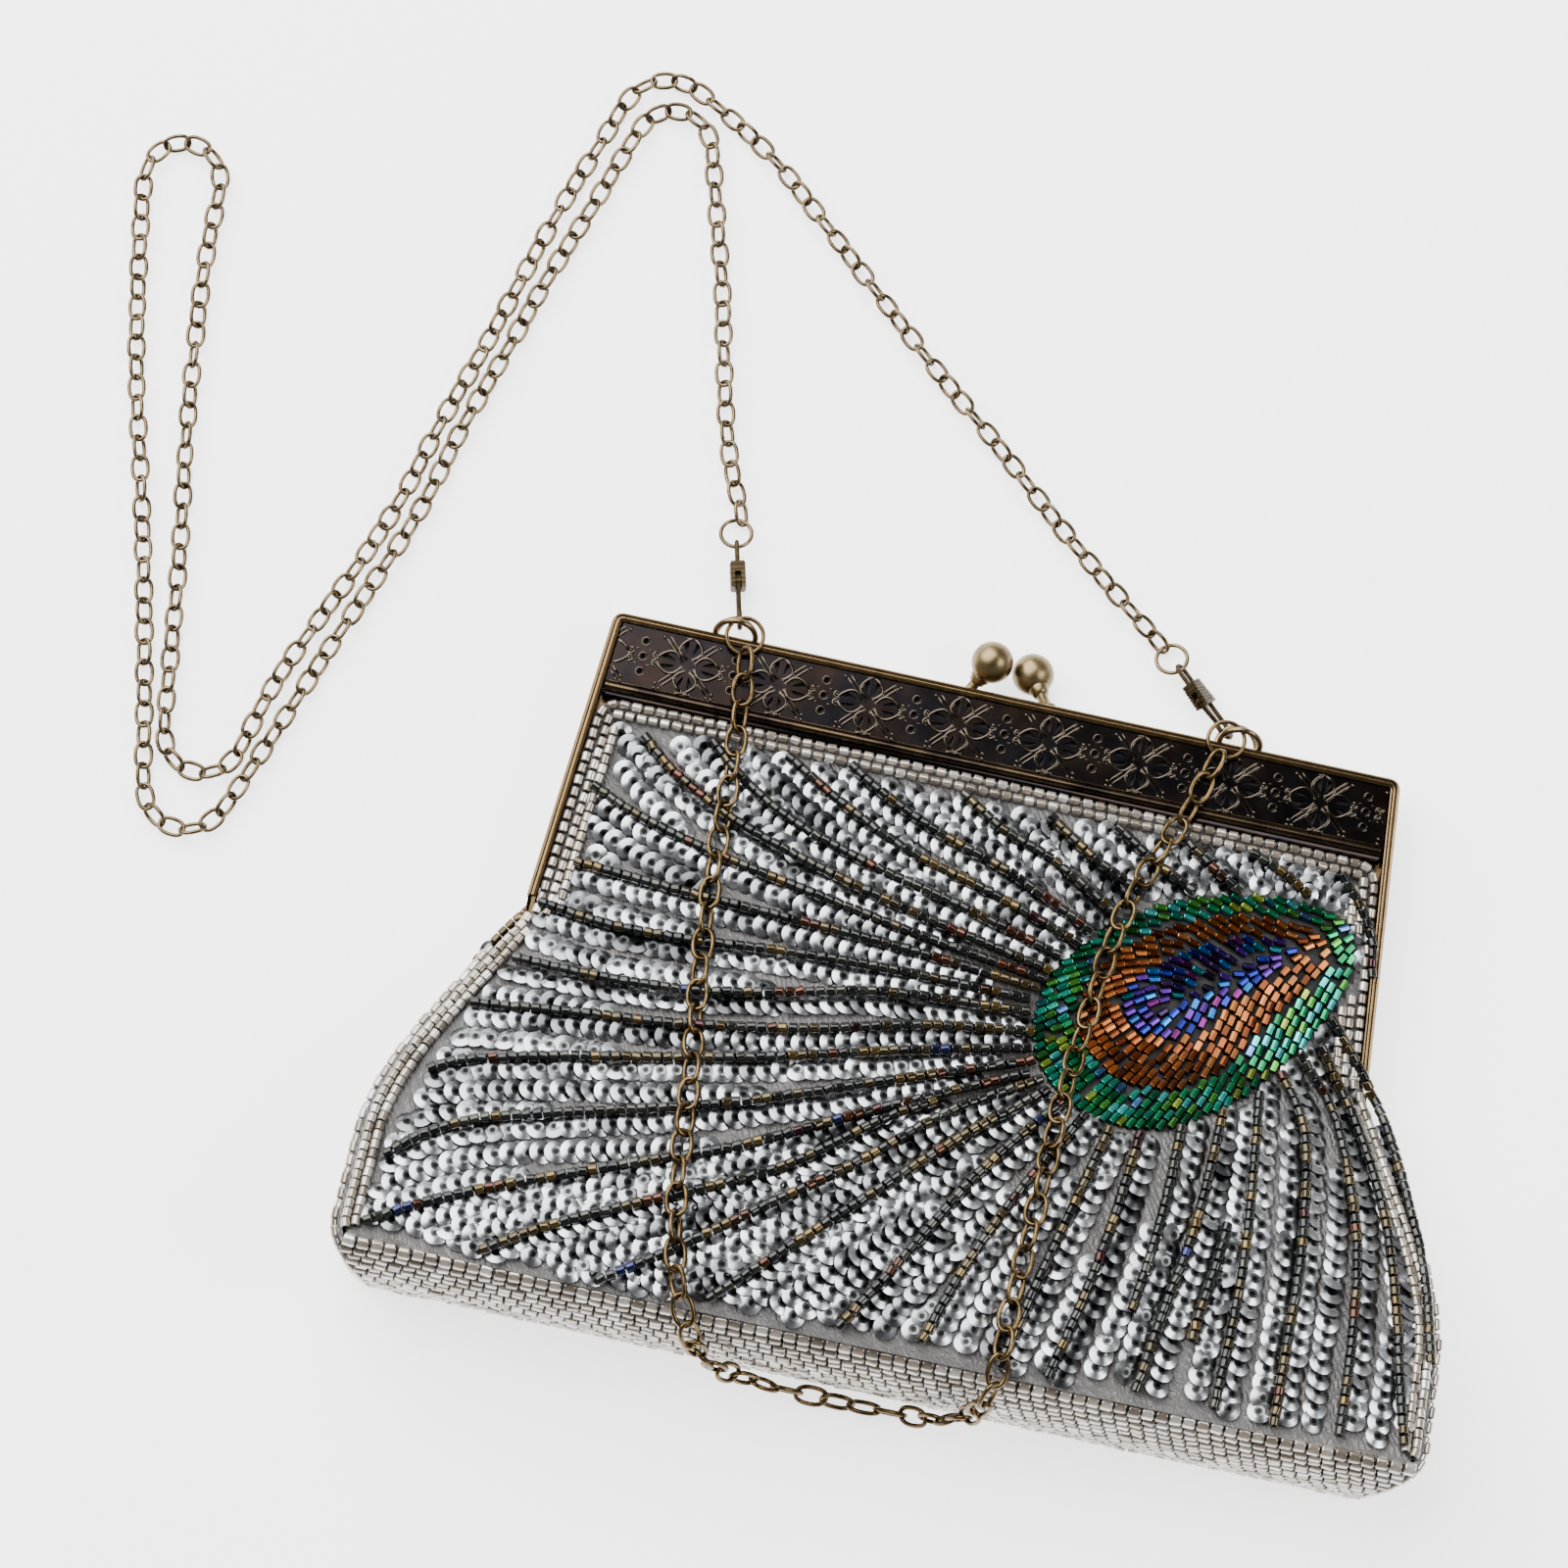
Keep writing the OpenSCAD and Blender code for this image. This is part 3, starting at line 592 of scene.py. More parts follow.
for i in range(-5, 5):
    cx = FIELD_X0 + (i + 0.5) * FIELD
    for q in range(4):
        a = math.pi / 4 + q * math.pi / 2
        for off in (-0.5, 0.5):
            ridge(turn([(r, off * min(1, 0.4 + r / 4)) for r in np.linspace(1.2, 8.2, 9)], a, cx), 0.34)
        for r, off in ((8.8, -0.75), (8.8, 0.75), (9.7, 0.0)):
            dot(*turn([(r, off)], a, cx)[0], 0.5)
    for q in range(4):
        a = q * math.pi / 2
        reach, long = (6.6, 0.86) if q % 2 else (7.6, 1)
        for sign in (-1, 1):
            ridge(turn(petal_edge(reach, sign), a, cx), 0.4)
            curl = [(reach + 0.2 + 0.75 * math.cos(t), sign * 0.95 + 0.75 * math.sin(t) * sign)
                for t in np.linspace(-2.6, 1.9, 12)]
            ridge(turn(curl, a, cx), 0.3)
            dot(*turn([(reach + 0.2, sign * 0.95)], a, cx)[0], 0.4)
            shape = turn(LEAF * [long, sign], a, cx)
            if all(inside_plate(p) for p in shape):
                holes.append(shape)
    hx = cx + FIELD / 2
    for hy in (PLATE_MID - 3.7, PLATE_MID, PLATE_MID + 3.7):
        if inside_plate((hx, hy), 1.2):
            holes.append(np.array(arc_points(hx, hy, 0.72, 16)))
            ridge(arc_points(hx, hy, 1.0, 18, 0.2, 6.1), 0.2, 0.7)
    for sx in (-1, 1):
        for sy in (-1, 1):
            ridge([(hx + sx * x, PLATE_MID + sy * y) for x, y in ((1.9, 1.7), (1.5, 1.9), (1.1, 1.8))], 0.2)


def plate_outline(room, low):
    """The plate's four corners, so far inside the rim and its own upper and lower edges."""
    x0, x1 = frame_half(PLATE_Y0) - RIM - room, frame_half(PLATE_Y1) - RIM - room
    return [(-x0, PLATE_Y0 + low), (x0, PLATE_Y0 + low), (x1, PLATE_Y1 - low), (-x1, PLATE_Y1 - low)]


def pierced_sheet():
    """The plate's pierced outline, filled and given its thickness."""
    cu = bpy.data.curves.new("plate", "CURVE")
    cu.dimensions, cu.fill_mode, cu.extrude, cu.bevel_depth = "2D", "BOTH", 0.0004, 0.00012
    for points in [plate_outline(0.6, 0)] + holes:
        s = cu.splines.new("POLY")
        s.points.add(len(points) - 1)
        for point, (x, y) in zip(s.points, points):
            point.co = (x * MM, y * MM, 0, 1)
        s.use_cyclic_u = True
    tmp = bpy.data.objects.new("plate curve", cu)
    bpy.context.scene.collection.objects.link(tmp)
    mesh = bpy.data.meshes.new_from_object(tmp)
    bpy.data.objects.remove(tmp)
    v = np.array([p.co for p in mesh.vertices]) / MM
    v[:, 2] += PLATE_Z + 0.5
    return v, [list(p.vertices) for p in mesh.polygons]


def plate(which):
    """The pierced sheet, the ridges stamped in it and a near-black backing behind it, painted shade seen through its
    holes.
    """
    v1, f1 = pierced_sheet()
    v2, f2 = ridges.joined()[:2]
    v = np.concatenate([v1, v2, [(x, y, PLATE_Z - 0.4) for x, y in plate_outline(1.2, 0.4)]])
    f = f1 + (f2 + len(v1)).tolist() + [[len(v1) + len(v2) + k for k in range(4)]]
    slots = [0] * len(f1) + [1] * len(f2) + [2]
    return build(which + "_plate_pierced", *for_half(which, v, f), [PLATE, RIDGE, SHADE_BACKING], slots, sharp=40)


def lip(which):
    """The rolled lip under the plate: an upper roll with end caps and a thin top rod in a lighter bronze that is a
    painted highlight, and a darker fold below it in the plate's dark bronze.
    """
    x = frame_half(59) - RIM - 0.3
    ends = np.array([-x, -x + 0.3, -x + 1.0, -x + 1.1, 0, x - 1.1, x - 1.0, x - 0.3, x])
    parts = Parts()
    for y, z, r, slot in ((58.25, 11.35, 1.3, 1), (56.6, 10.7, 1.15, 0)):
        swell = np.array([0.6, 1.1, 1.1, 1, 1, 1, 1.1, 1.1, 0.6]) * r
        parts.add(sweep(np.column_stack([ends, np.full(9, y), np.full(9, z)]), swell, 24), slot)
    parts.add(sweep([[-x + 1, 59.5, 12.0], [0, 59.5, 12.0], [x - 1, 59.5, 12.0]], 0.28, 8), 1)
    v, f, slots, _ = parts.joined()
    return build(which + "_lip_rolled", *for_half(which, v, f.tolist()), [PLATE, ROLL], slots, sharp=50)


for which, body in (("front", FRONT), ("rear", ROOT)):
    attach(plate(which), body, "bronze_plate", which + "_plate")
    attach(lip(which), body, "bronze_plate", which + "_lip")


# ---- clasp
def clasp(name, side, lean):
    foot = np.array([side * 10.0, FRAME_H - 0.8, CLOSE_Z - lean * 2.8])
    ball = np.array([side * 5.1, FRAME_H + 8.0, CLOSE_Z + lean * 1.8])
    axis = unit(ball - foot)
    reach = float(np.linalg.norm(ball - foot))
    profile = [(0, 2.1), (0.4, 2.2), (0.9, 1.6), (1.4, 1.4), (reach - 6.6, 1.3), (reach - 6.2, 1.9),
        (reach - 5.6, 2.0), (reach - 4.8, 2.5), (reach - 4.3, 2.4)]
    ball_profile = [(-5 * math.cos(t), max(0.005, 5 * math.sin(t))) for t in np.linspace(0, math.pi, 33)]
    axes = axes_from(axis[None], np.array([[0.2, 0.3, 1.0]]))
    parts = Parts()
    parts.stamps(revolve(profile, 28), foot[None], axes)
    parts.stamps(revolve(ball_profile, 48), ball[None], axes)
    return parts.make(name, BALL, sharp=50)


attach(clasp("front_clasp_ball", 1, -1), FRONT, "brushed_brass", "front_clasp")
attach(clasp("rear_clasp_ball", -1, 1), ROOT, "brushed_brass", "rear_clasp")


# ---- bead and sequin shapes
def bead(half_len, radius, sides):
    """A short cut tube with open ends, and a painted shade that darkens it towards its ends and bore."""
    bore, rim, flat = radius * 0.45, radius * 0.84, half_len - radius * 0.14
    profile = [(-half_len * 0.94, bore), (-half_len, rim), (-flat, radius), (-flat * 0.8, radius),
        (flat * 0.8, radius), (flat, radius), (half_len, rim), (half_len * 0.94, bore)]
    return *revolve(profile, sides), np.repeat([0.12, 0.3, 0.6, 1, 1, 0.6, 0.3, 0.12], sides)


# millimetres from bead to bead, and what beads and sequins leave free round the eye motif
DARK_PITCH, SIDE_PITCH, BASE_PITCH, BEAD_ROOM, SEQUIN_ROOM = 2.35, 3.1, 3.15, 1.15, 1.9
DARK_BEAD = bead(1.08, 1.24, 10)
CLEAR_BEAD = bead(1.15, 1.1, 9)
SIDE_BEAD = bead(1.35, 1.4, 10)
BASE_BEAD = bead(1.35, 1.6, 10)
TUBE_BEAD = bead(1.42, 0.86, 7)
CUP_SIDES = 18
# each cup is painted ring by ring: a near-black disc in the hole and a dark hole edge as painted shade, a darker flat
# middle as a painted dim reflection, the slope bright as a painted highlight and a dark outer edge as a painted
# shadow line
CUP = *revolve([(0.3, 0.01), (0.32, 0.52), (0.5, 0.6), (0.56, 1.22), (0.49, 1.4), (0.06, 2.74), (0.0, 2.85)],
    CUP_SIDES, "z"), np.repeat([0.03, 0.04, 0.18, 0.36, 0.74, 1.0, 0.3], CUP_SIDES)


def dark_tints(n):
    kinds = np.array([(0.017, 0.018, 0.017), (0.032, 0.032, 0.026), (0.055, 0.04, 0.015), (0.085, 0.056, 0.015),
        (0.05, 0.014, 0.004), (0.028, 0.002, 0.004), (0.008, 0.012, 0.06)])
    kind = rng.choice(len(kinds), n, p=[0.42, 0.27, 0.15, 0.08, 0.05, 0.02, 0.01])
    # colours come in short runs along a string
    kind[1:] = np.where(rng.random(n - 1) < 0.35, kind[:-1], kind[1:])
    return kinds[kind] * rng.uniform(0.6, 1.3, (n, 1))


def pick(kinds, weights, n, low=0.25, high=1.0):
    """n colours out of kinds, by weight, each of them made darker or lighter."""
    return np.array(kinds)[rng.choice(len(kinds), n, p=weights)] * rng.uniform(low, high, (n, 1))


def clear_tints(n):
    return pick([(0.42, 0.37, 0.315), (0.31, 0.26, 0.21), (0.56, 0.52, 0.47), (0.2, 0.165, 0.13)],
        [0.38, 0.27, 0.2, 0.15], n, 0.85, 1.1)


def lay_beads(parts, face, kind, line2, pitch, tints, height, jitter=0.06):
    """A string of beads on a panel; height is how far their middles stand above its surface."""
    line = face.point(line2)
    at, ahead = spaced(line, int(length_of(line) / pitch))
    free = gap_to(green_loop, at[:, :2] * face.mirror) > BEAD_ROOM
    at, ahead, n = at[free], ahead[free], int(free.sum())
    nrm = face.normal(at[:, :2])
    ahead = unit(ahead + rng.normal(0, jitter, (n, 3)) * (1 if face is Front else 0.4))
    rise = height + (rng.normal(0, 0.08, (n, 1)) if face is Front else 0)
    parts.stamps(kind, at + nrm * rise, axes_from(ahead, nrm), tints(n))


# ---- the fan of dark strings
# each runs from the eye motif outward; BEADED says which have beads on only a part of their length
FAN = [[(96.5, 30), (95, 37), (91, 44), (85, 51)], [(79, 43.5), (71, 48), (63, 51)], [(61, 41.5), (55, 45), (48, 50)],
    [(50, 39), (40, 44), (31, 50)], [(38, 35.5), (27, 41), (15, 49)], [(33, 29.5), (18, 38), (5, 43), (-6, 50)],
    [(28, 24), (8, 33), (-10, 39), (-25, 46), (-33, 51)], [(26, 20), (5, 27), (-16, 33), (-33, 41), (-48, 50)],
    [(22, 16), (0, 22), (-25, 28), (-45, 35), (-58, 43), (-66, 50)],
    [(20, 12), (-5, 17), (-30, 23), (-55, 31), (-72, 40), (-82, 48)],
    [(20, 9.5), (-10, 13.5), (-38, 18.5), (-62, 23.5), (-80, 29), (-91, 34)],
    [(19, 7), (-12, 9.5), (-40, 11), (-65, 12.5), (-91, 15)],
    [(19, 4), (-13, 4), (-40, 3), (-60, 1.5), (-80, 1.5), (-97, 4)],
    [(18, 1), (-15, -2), (-37, -7), (-58, -11), (-80, -12), (-100, -11)],
    [(19, -4), (-5, -8), (-30, -14.5), (-58, -19.5), (-80, -21.5), (-107, -24)],
    [(20, -8), (-8, -15), (-37, -23), (-62, -28.5), (-85, -33), (-105, -38), (-113, -42)],
    [(21, -11), (-13, -24), (-45, -36), (-70, -43), (-97, -50.5), (-110, -57), (-118, -64)],
    [(22, -13.5), (-15, -32), (-40, -45), (-65, -55), (-90, -65), (-107, -73), (-119, -80)],
    [(22.5, -14.5), (-5, -29), (-30, -48), (-60, -63), (-78, -72), (-92, -81)],
    [(23, -15.5), (5, -27), (-13, -43), (-35, -60), (-52, -73), (-65, -82)],
    [(25, -18), (8, -33), (-8, -49), (-24, -65), (-40, -81)], [(29, -20), (14, -40), (2, -61), (-10, -81)],
    [(35, -22), (24, -42), (15, -62), (9, -80)], [(42, -22), (36, -45), (31, -65), (27, -82)],
    [(49, -21.5), (46, -45), (42, -66), (38, -82)], [(58, -20), (57, -40), (54, -63), (51, -82)],
    [(67, -14.5), (65, -40), (61, -62), (58, -81)], [(72, -10), (72, -40), (69, -62), (67, -82)],
    [(75, -7), (77, -40), (77, -62), (76, -81)], [(80, -1), (87, -13), (90, -40), (90, -62), (90, -82)],
    [(84, 5), (94, -8), (102, -33), (104.5, -57), (105, -81)],
    [(87, 10), (98, -6), (108, -27), (114, -50), (117, -66), (120, -80)],
    [(90, 15), (104, -2), (113.5, -22), (120, -42), (123.5, -60)]]
BEADED = {12: (0.02, 1), 17: (0.04, 1), 18: (0.2, 1), 25: (0, 0.7), 27: (0.42, 0.8)}


def string(points):
    """A string's line, begun 2 mm nearer to the eye motif than its first point."""
    first = points[0] + 2 * unit(np.subtract(points[0], points[1])[None])[0]
    return curve_through(np.vstack([first, points]), 1.0)


strings = [string(points) for points in FAN]


def resampled(line, n=60):
    return points_at(line, np.linspace(0, run_of(line)[-1], n))


# ---- outlines of the eye motif
GREEN = [(91.6, 35), (88, 40), (81, 42), (70, 41.5), (57, 38.5), (45, 33.5), (36, 27.5), (28, 19.5), (22.3, 10),
    (20.8, 1), (22.3, -7), (27, -14), (35, -19), (45, -20.6), (55, -18.8), (64, -13.5), (72.5, -6.5), (79, 1.5),
    (85.5, 11), (90, 20), (92.3, 28)]
COPPER = [(86.3, 34), (83.5, 36.3), (76, 37), (66.7, 36), (56, 33), (46, 28), (38, 21.5), (32.5, 14), (30.6, 6),
    (31, -1), (36, -7), (46, -10.2), (56.5, -8.7), (66, -1.5), (75, 12), (81.7, 22), (86.5, 29)]
BLUE = [(78.5, 31.8), (74, 32.4), (66.7, 31), (58, 27), (50, 21.8), (43, 16), (40, 10), (43.3, 3.8), (50, 2.0),
    (58, 5.5), (63.5, 12), (70.5, 20), (76.5, 27)]


def loop(points):
    p = np.array(points, float)
    return spline(np.concatenate([p[-1:], p, p[:2]]), 10)


def inside(poly, p):
    """Which of the points p lie in the closed outline."""
    x, y = p[:, :1], p[:, 1:]
    a, b = poly.T[:, None], np.roll(poly, -1, 0).T[:, None]
    cut = (b[0] - a[0]) * (y - a[1]) / (b[1] - a[1] + 1e-12) + a[0]
    return (((a[1] > y) != (b[1] > y)) & (x < cut)).sum(1) % 2 == 1


def gap_to(poly, p):
    """Distance from each point to the outline, less than zero inside it."""
    d = np.linalg.norm(p[:, None] - poly[None], axis=2).min(1)
    return np.where(inside(poly, p), -d, d)


green_loop, copper_loop, blue_loop = loop(GREEN), loop(COPPER), loop(BLUE)


# ---- sequins
# millimetres from cup to cup, from row to row, and what a row leaves free at the dark strings
SEQUIN_PITCH, ROW_GAP, ROW_EDGE = 3.45, 5.0, 2.3


def sequin_string(parts, face, line2):
    """Overlapping cups; the one nearest the eye motif lies on top and flat."""
    line = face.point(line2)
    n = int(length_of(line) / SEQUIN_PITCH)
    if n < 2:
        return
    at, ahead = along(line, (np.arange(n) + 0.6) * SEQUIN_PITCH + rng.normal(0, 0.12, n))
    free = gap_to(green_loop, at[:, :2] * face.mirror) > SEQUIN_ROOM
    at, ahead = at[free], ahead[free]
    n = len(at)
    if n < 2:
        return
    nrm = face.normal(at[:, :2])
    side = unit(np.cross(nrm, ahead))
    lean = np.radians(12 if face is Front else 6) + face.loose * (rng.normal(0, 0.1, n) + rng.normal(0, 0.07))
    lean[0] = 0.03
    z = turn_about(side, -lean, nrm)
    z = turn_about(ahead, face.loose * (rng.normal(0, 0.12, n) + rng.normal(0, 0.1)), z)
    x = unit(ahead - z * (ahead * z).sum(1, keepdims=True))
    spin = turn_about(z, rng.uniform(0, 2 * np.pi, n), x)
    # some stretches are greyer, where the clear foil shows the ground through it
    knots = np.arange(0, n + 4, 4)
    wave = np.interp(np.arange(n), knots, rng.random(len(knots)))
    shades = np.array([0.46, 0.47, 0.49]) * (rng.uniform(0.7, 1.2, n) * (0.2 + 0.8 * smooth(wave * 1.9)))[:, None]
    parts.stamps(CUP, at + nrm * (0.1 if face is Front else 0.3), axes_from(spin, z), shades)


# a short row that fills the corner the strings leave
CORNER_ROW = curve_through([(-72, 36), (-82, 42.5), (-90, 50)], 1.0)


def sequins_between(parts, face):
    for k in range(len(strings) - 1):
        a, b = resampled(strings[k]), resampled(strings[k + 1])
        width = np.linalg.norm(b - a, axis=1)
        count = int(max(1, round((width[-15:].max() - ROW_EDGE) / ROW_GAP)))
        room = np.clip((width - ROW_EDGE) / ROW_GAP, 1, count)
        for j in range(count):
            ok = width > 3.7 if j == 0 else room >= j + 0.65
            if not ok.any():
                continue
            f = np.clip((j + 0.5) / room, 0.1, 0.9)[:, None]
            line = (a * (1 - f) + b * f)[int(np.argmax(ok)):]
            if len(line) > 3 and length_of(line) > 6:
                sequin_string(parts[k % len(parts)], face, line)
    sequin_string(parts[0], face, CORNER_ROW)


# ---- beads of the eye motif
def stitch_angle(p):
    """Direction of the short strings in the eye: they sweep back from its tip like a feather's barbs."""
    d = p - [54, 11]
    phi = np.degrees(np.arctan2(d[:, 1], d[:, 0])) % 360
    return np.radians(np.interp(phi, [0, 15, 33, 50, 70, 100, 120, 145, 180, 215, 250, 300, 340, 360],
        [258, 256, 236, 158, 155, 174, 185, 196, 213, 226, 238, 250, 256, 258]))


# a tube bead's room along and across it, and what each colour leaves free at its outline
TUBE_LEN, TUBE_GAP, EYE_EDGE = 2.9, 1.68, 0.7


def eye_beads():
    """Places and directions of tube beads that fill the eye side by side, ring by ring."""
    kept = []
    xs, ys = np.meshgrid(np.arange(18, 98, 0.3), np.arange(-23, 44, 0.3))
    spots = np.column_stack([xs.ravel(), ys.ravel()])
    for outer, inner in ((green_loop, copper_loop), (copper_loop, blue_loop), (blue_loop, None)):
        p, near = spots, gap_to(outer, spots)
        ok = near < -EYE_EDGE
        if inner is not None:
            ok &= gap_to(inner, p) > EYE_EDGE
        p, near = p[ok], near[ok]
        p = p[np.lexsort((p @ [0.84, 0.54], np.floor(-near / EYE_EDGE)))]
        turn_to = stitch_angle(p)
        d = np.column_stack([np.cos(turn_to), np.sin(turn_to)])
        for q, dq in zip(p, d):
            if kept:
                arr = np.array(kept)
                off = arr[:, :2] - q
                u, v = np.abs(off @ dq), np.abs(off @ [-dq[1], dq[0]])
                if ((u < TUBE_LEN * 0.97) & (v < TUBE_GAP * 0.97)).any():
                    continue
            kept.append([*q, *dq])
    return np.array(kept)


def eye_tints(p):
    green = pick([(0.01, 0.2, 0.075), (0.015, 0.33, 0.22), (0.05, 0.42, 0.42), (0.3, 0.42, 0.06), (0.06, 0.26, 0.04),
        (0.1, 0.22, 0.5)], [0.38, 0.22, 0.13, 0.08, 0.15, 0.04], len(p))
    copper = pick([(0.3, 0.095, 0.022), (0.17, 0.045, 0.012), (0.42, 0.16, 0.05)], [0.5, 0.33, 0.17], len(p))
    blue = pick([(0.012, 0.02, 0.22), (0.06, 0.015, 0.18), (0.012, 0.12, 0.38), (0.14, 0.015, 0.13),
        (0.01, 0.15, 0.18), (0.04, 0.02, 0.07)], [0.3, 0.24, 0.17, 0.11, 0.08, 0.1], len(p))
    in_copper, in_blue = inside(copper_loop, p)[:, None], inside(blue_loop, p)[:, None]
    return np.where(in_blue, blue, np.where(in_copper, copper, green))


eye_list = eye_beads()
eye_colours = eye_tints(eye_list[:, :2])


def sew_eye(parts, face):
    at2, d2 = eye_list[:, :2], eye_list[:, 2:]
    at = face.point(at2)
    nrm = face.normal(at[:, :2])
    ahead = np.column_stack([d2 * face.mirror, np.zeros(len(d2))])
    ahead = unit(ahead - nrm * (ahead * nrm).sum(1, keepdims=True))
    rise = 0.3
    if face is Front:
        ahead = unit(ahead + rng.normal(0, 0.03, (len(d2), 3)))
        rise = rise + rng.normal(0, 0.08, (len(at2), 1))
    parts.stamps(TUBE_BEAD, at + nrm * rise, axes_from(ahead, nrm), eye_colours)


# ---- clear bead borders
def rear_half_width(y):
    y = np.asarray(y, float)
    inside_frame = np.minimum(half_w(y), frame_half(y) - RIM)
    wide = np.where(y > 4, inside_frame, half_w(y)) - 0.3
    return np.where((y > -5.5) & (y < 11.5), frame_half(0) - 6.4, wide)


def border_width(y):
    return np.where(np.asarray(y) > 45, frame_half(np.asarray(y)) - RIM - 0.4, panel_half(y))


def border_arch(inset, low, width):
    """A row of the border: up one side, round the corner, along the mouth and down the other side."""
    top, bend = MOUTH_Y - inset, max(1.0, 5.5 - inset)
    ys = np.linspace(low, top - bend, 30)
    turn_to = np.linspace(0.15, math.pi / 2, 8)
    corner = float(width(top - bend)) - inset - bend
    right_half = np.concatenate([
        np.column_stack([width(ys) - inset, ys]),
        np.column_stack([corner + bend * np.cos(turn_to), top - bend + bend * np.sin(turn_to)]),
        [[corner * k, top] for k in (0.9, 0.7, 0.5, 0.3, 0.1)]])
    return np.concatenate([right_half * [-1, 1], right_half[::-1]])


def borders(parts, face):
    width = border_width if face is Front else rear_half_width
    low = 1 if face is Front else 13
    for inset, pitch in ((1.1, 2.9), (3.6, 2.8)):
        lay_beads(parts, face, CLEAR_BEAD, border_arch(inset, low, width), pitch, clear_tints, face.border_height)
    rows = [(5.7, 49, low + 2)]
    rows += [(-0.1, 1, -82), (2.2, -3, -81)] if face is Front else [(1.4, -7, -86), (3.7, -7, -84)]
    for inset, top, foot in rows:
        ys = np.linspace(top, foot, 60)
        for side in (-1, 1):
            line = np.column_stack([side * (width(ys) - inset), ys])
            lay_beads(parts, face, CLEAR_BEAD, line, 2.4, clear_tints, face.border_height)


def embroider(face, prefix, body):
    """All the beadwork of one panel."""
    dark, jewels, clear = Parts(), Parts(), Parts()
    sequins = [Parts(), Parts(), Parts()]
    for k, line in enumerate(strings):
        first, last = [int(share * len(line)) for share in BEADED.get(k, (0, 1))]
        lay_beads(dark, face, DARK_BEAD, line[first:last + 1], DARK_PITCH, dark_tints, face.dark_height, 0.08)
    sequins_between(sequins, face)
    sew_eye(jewels, face)
    borders(clear, face)
    attach(dark.make(prefix + "dark_beads", DARK, 50), body, "sequin_embroidery")
    for letter, parts in zip("abc", sequins):
        attach(parts.make(prefix + "sequins_" + letter, SEQUIN, 20), body, "sequin_embroidery")
    attach(jewels.make(prefix + "eye_beads", JEWEL, 50), body, "sequin_embroidery")
    attach(clear.make(prefix + "border_beads", CLEAR, 50), body, "clear_beadwork")


embroider(Front, "front_", BENDS)
embroider(Rear, "rear_", ROOT)


# ---- cloth
def slab(name, top, bottom, mat, nu, nv, second=None):
    """A closed sheet between two grids of points, nu across and nv along. second says which faces of the
    first grid take the second material."""
    n = nu * nv
    f = grid_faces(nu, nv)
    ring = [*range(nu), *range(2 * nu - 1, n, nu), *range(n - 2, n - nu - 1, -1), *range(n - 2 * nu, 0, -nu)]
    walls = [[b, a, a + n, b + n] for a, b in zip(ring, ring[1:] + ring[:1])]
    v = np.concatenate([top.reshape(-1, 3), bottom.reshape(-1, 3)])
    faces = f.tolist() + (f[:, ::-1] + n).tolist() + walls
    slots = None
    if second is not None:
        slots = np.zeros(len(faces), int)
        slots[:len(f)] = second[f[:, 0]]
    return build(name, v, faces, mat, slots, sharp=60)


def pucker(x, y, size):
    """Soft puckers that the stitches pull into the satin."""
    return size * (np.sin(x * 0.9 + 1.7 * np.sin(y * 0.31)) * np.sin(y * 0.63 + 1.3 * np.sin(x * 0.23)) * 0.5
        + 0.5 * np.sin(x * 0.21 + y * 0.34))


NU = 120
HEM = -DROP + 6.9


def panel(name, ys, half, heights, mats, second=None):
    """One sheet of a panel. heights gives its upper and lower z at x and y."""
    x = np.linspace(-1, 1, NU)[None, :] * half(ys)[:, None]
    y = np.repeat(ys[:, None], NU, 1)
    top, bottom = heights(x, y)
    return slab(name, np.stack([x, y, top], 2), np.stack([x, y, bottom], 2), mats, NU, len(ys),
        second(x, y) if second else None)


def between(over, under, give):
    """Heights of a sheet that lies so far under the front panel's face, give or take its puckers."""
    return lambda x, y: (front_z(x, y) - over + give(x, y), front_z(x, y) - under + give(x, y))


def rear_rows(low, high):
    """Rows of a rear sheet, with a close pair at each step of its outline."""
    return np.sort(np.concatenate([np.linspace(low, high, 80), [-5.6, -5.4, 11.4, 11.6]]))


# the front cloth's faces under the eye motif and just outside it take the near-black painted shade ground
attach(panel("front_cloth", np.linspace(SEAM_Y + 0.1, MOUTH_Y - 0.1, 110), panel_half,
    between(0.75, 2.2, lambda x, y: pucker(x, y, 0.3)), [CLOTH, EYE_SHADE_GROUND],
    lambda x, y: gap_to(green_loop, np.column_stack([x.ravel() + 1, y.ravel() + 0.6])) < 0.6),
    BENDS, "sequin_embroidery", "front_panel_upper", "front_panel_fold", "front_panel_lower")
attach(panel("rear_cloth", rear_rows(-DROP + 0.1, MOUTH_Y - 0.1), rear_half_width,
    lambda x, y: (np.full_like(x, REAR_TOP - 0.1), REAR_TOP - 0.1 - 0.9 + pucker(x, y, 0.06)), CLOTH),
    ROOT, "sequin_embroidery", "rear_panel")
attach(panel("front_lining", np.linspace(HEM, MOUTH_Y - 1.4, 90), lambda y: panel_half(y) - 5,
    between(3.5, 3.9, lambda x, y: pucker(x * 0.35, y * 0.4, 0.25)), LINING),
    BENDS, "satin_lining", "lining_front")
attach(panel("rear_lining", rear_rows(HEM, MOUTH_Y - 0.2), lambda y: rear_half_width(y) - 4.9,
    lambda x, y: (2.9 + pucker(x * 0.35, y * 0.4, 0.15), np.full_like(x, 2.52)), LINING),
    ROOT, "satin_lining", "lining_rear")


def side_top(y, gap):
    top = SEAM_Z * clamp01((y + DROP) / 5.3) ** 0.4
    return np.minimum(top, side_z(y) - gap)


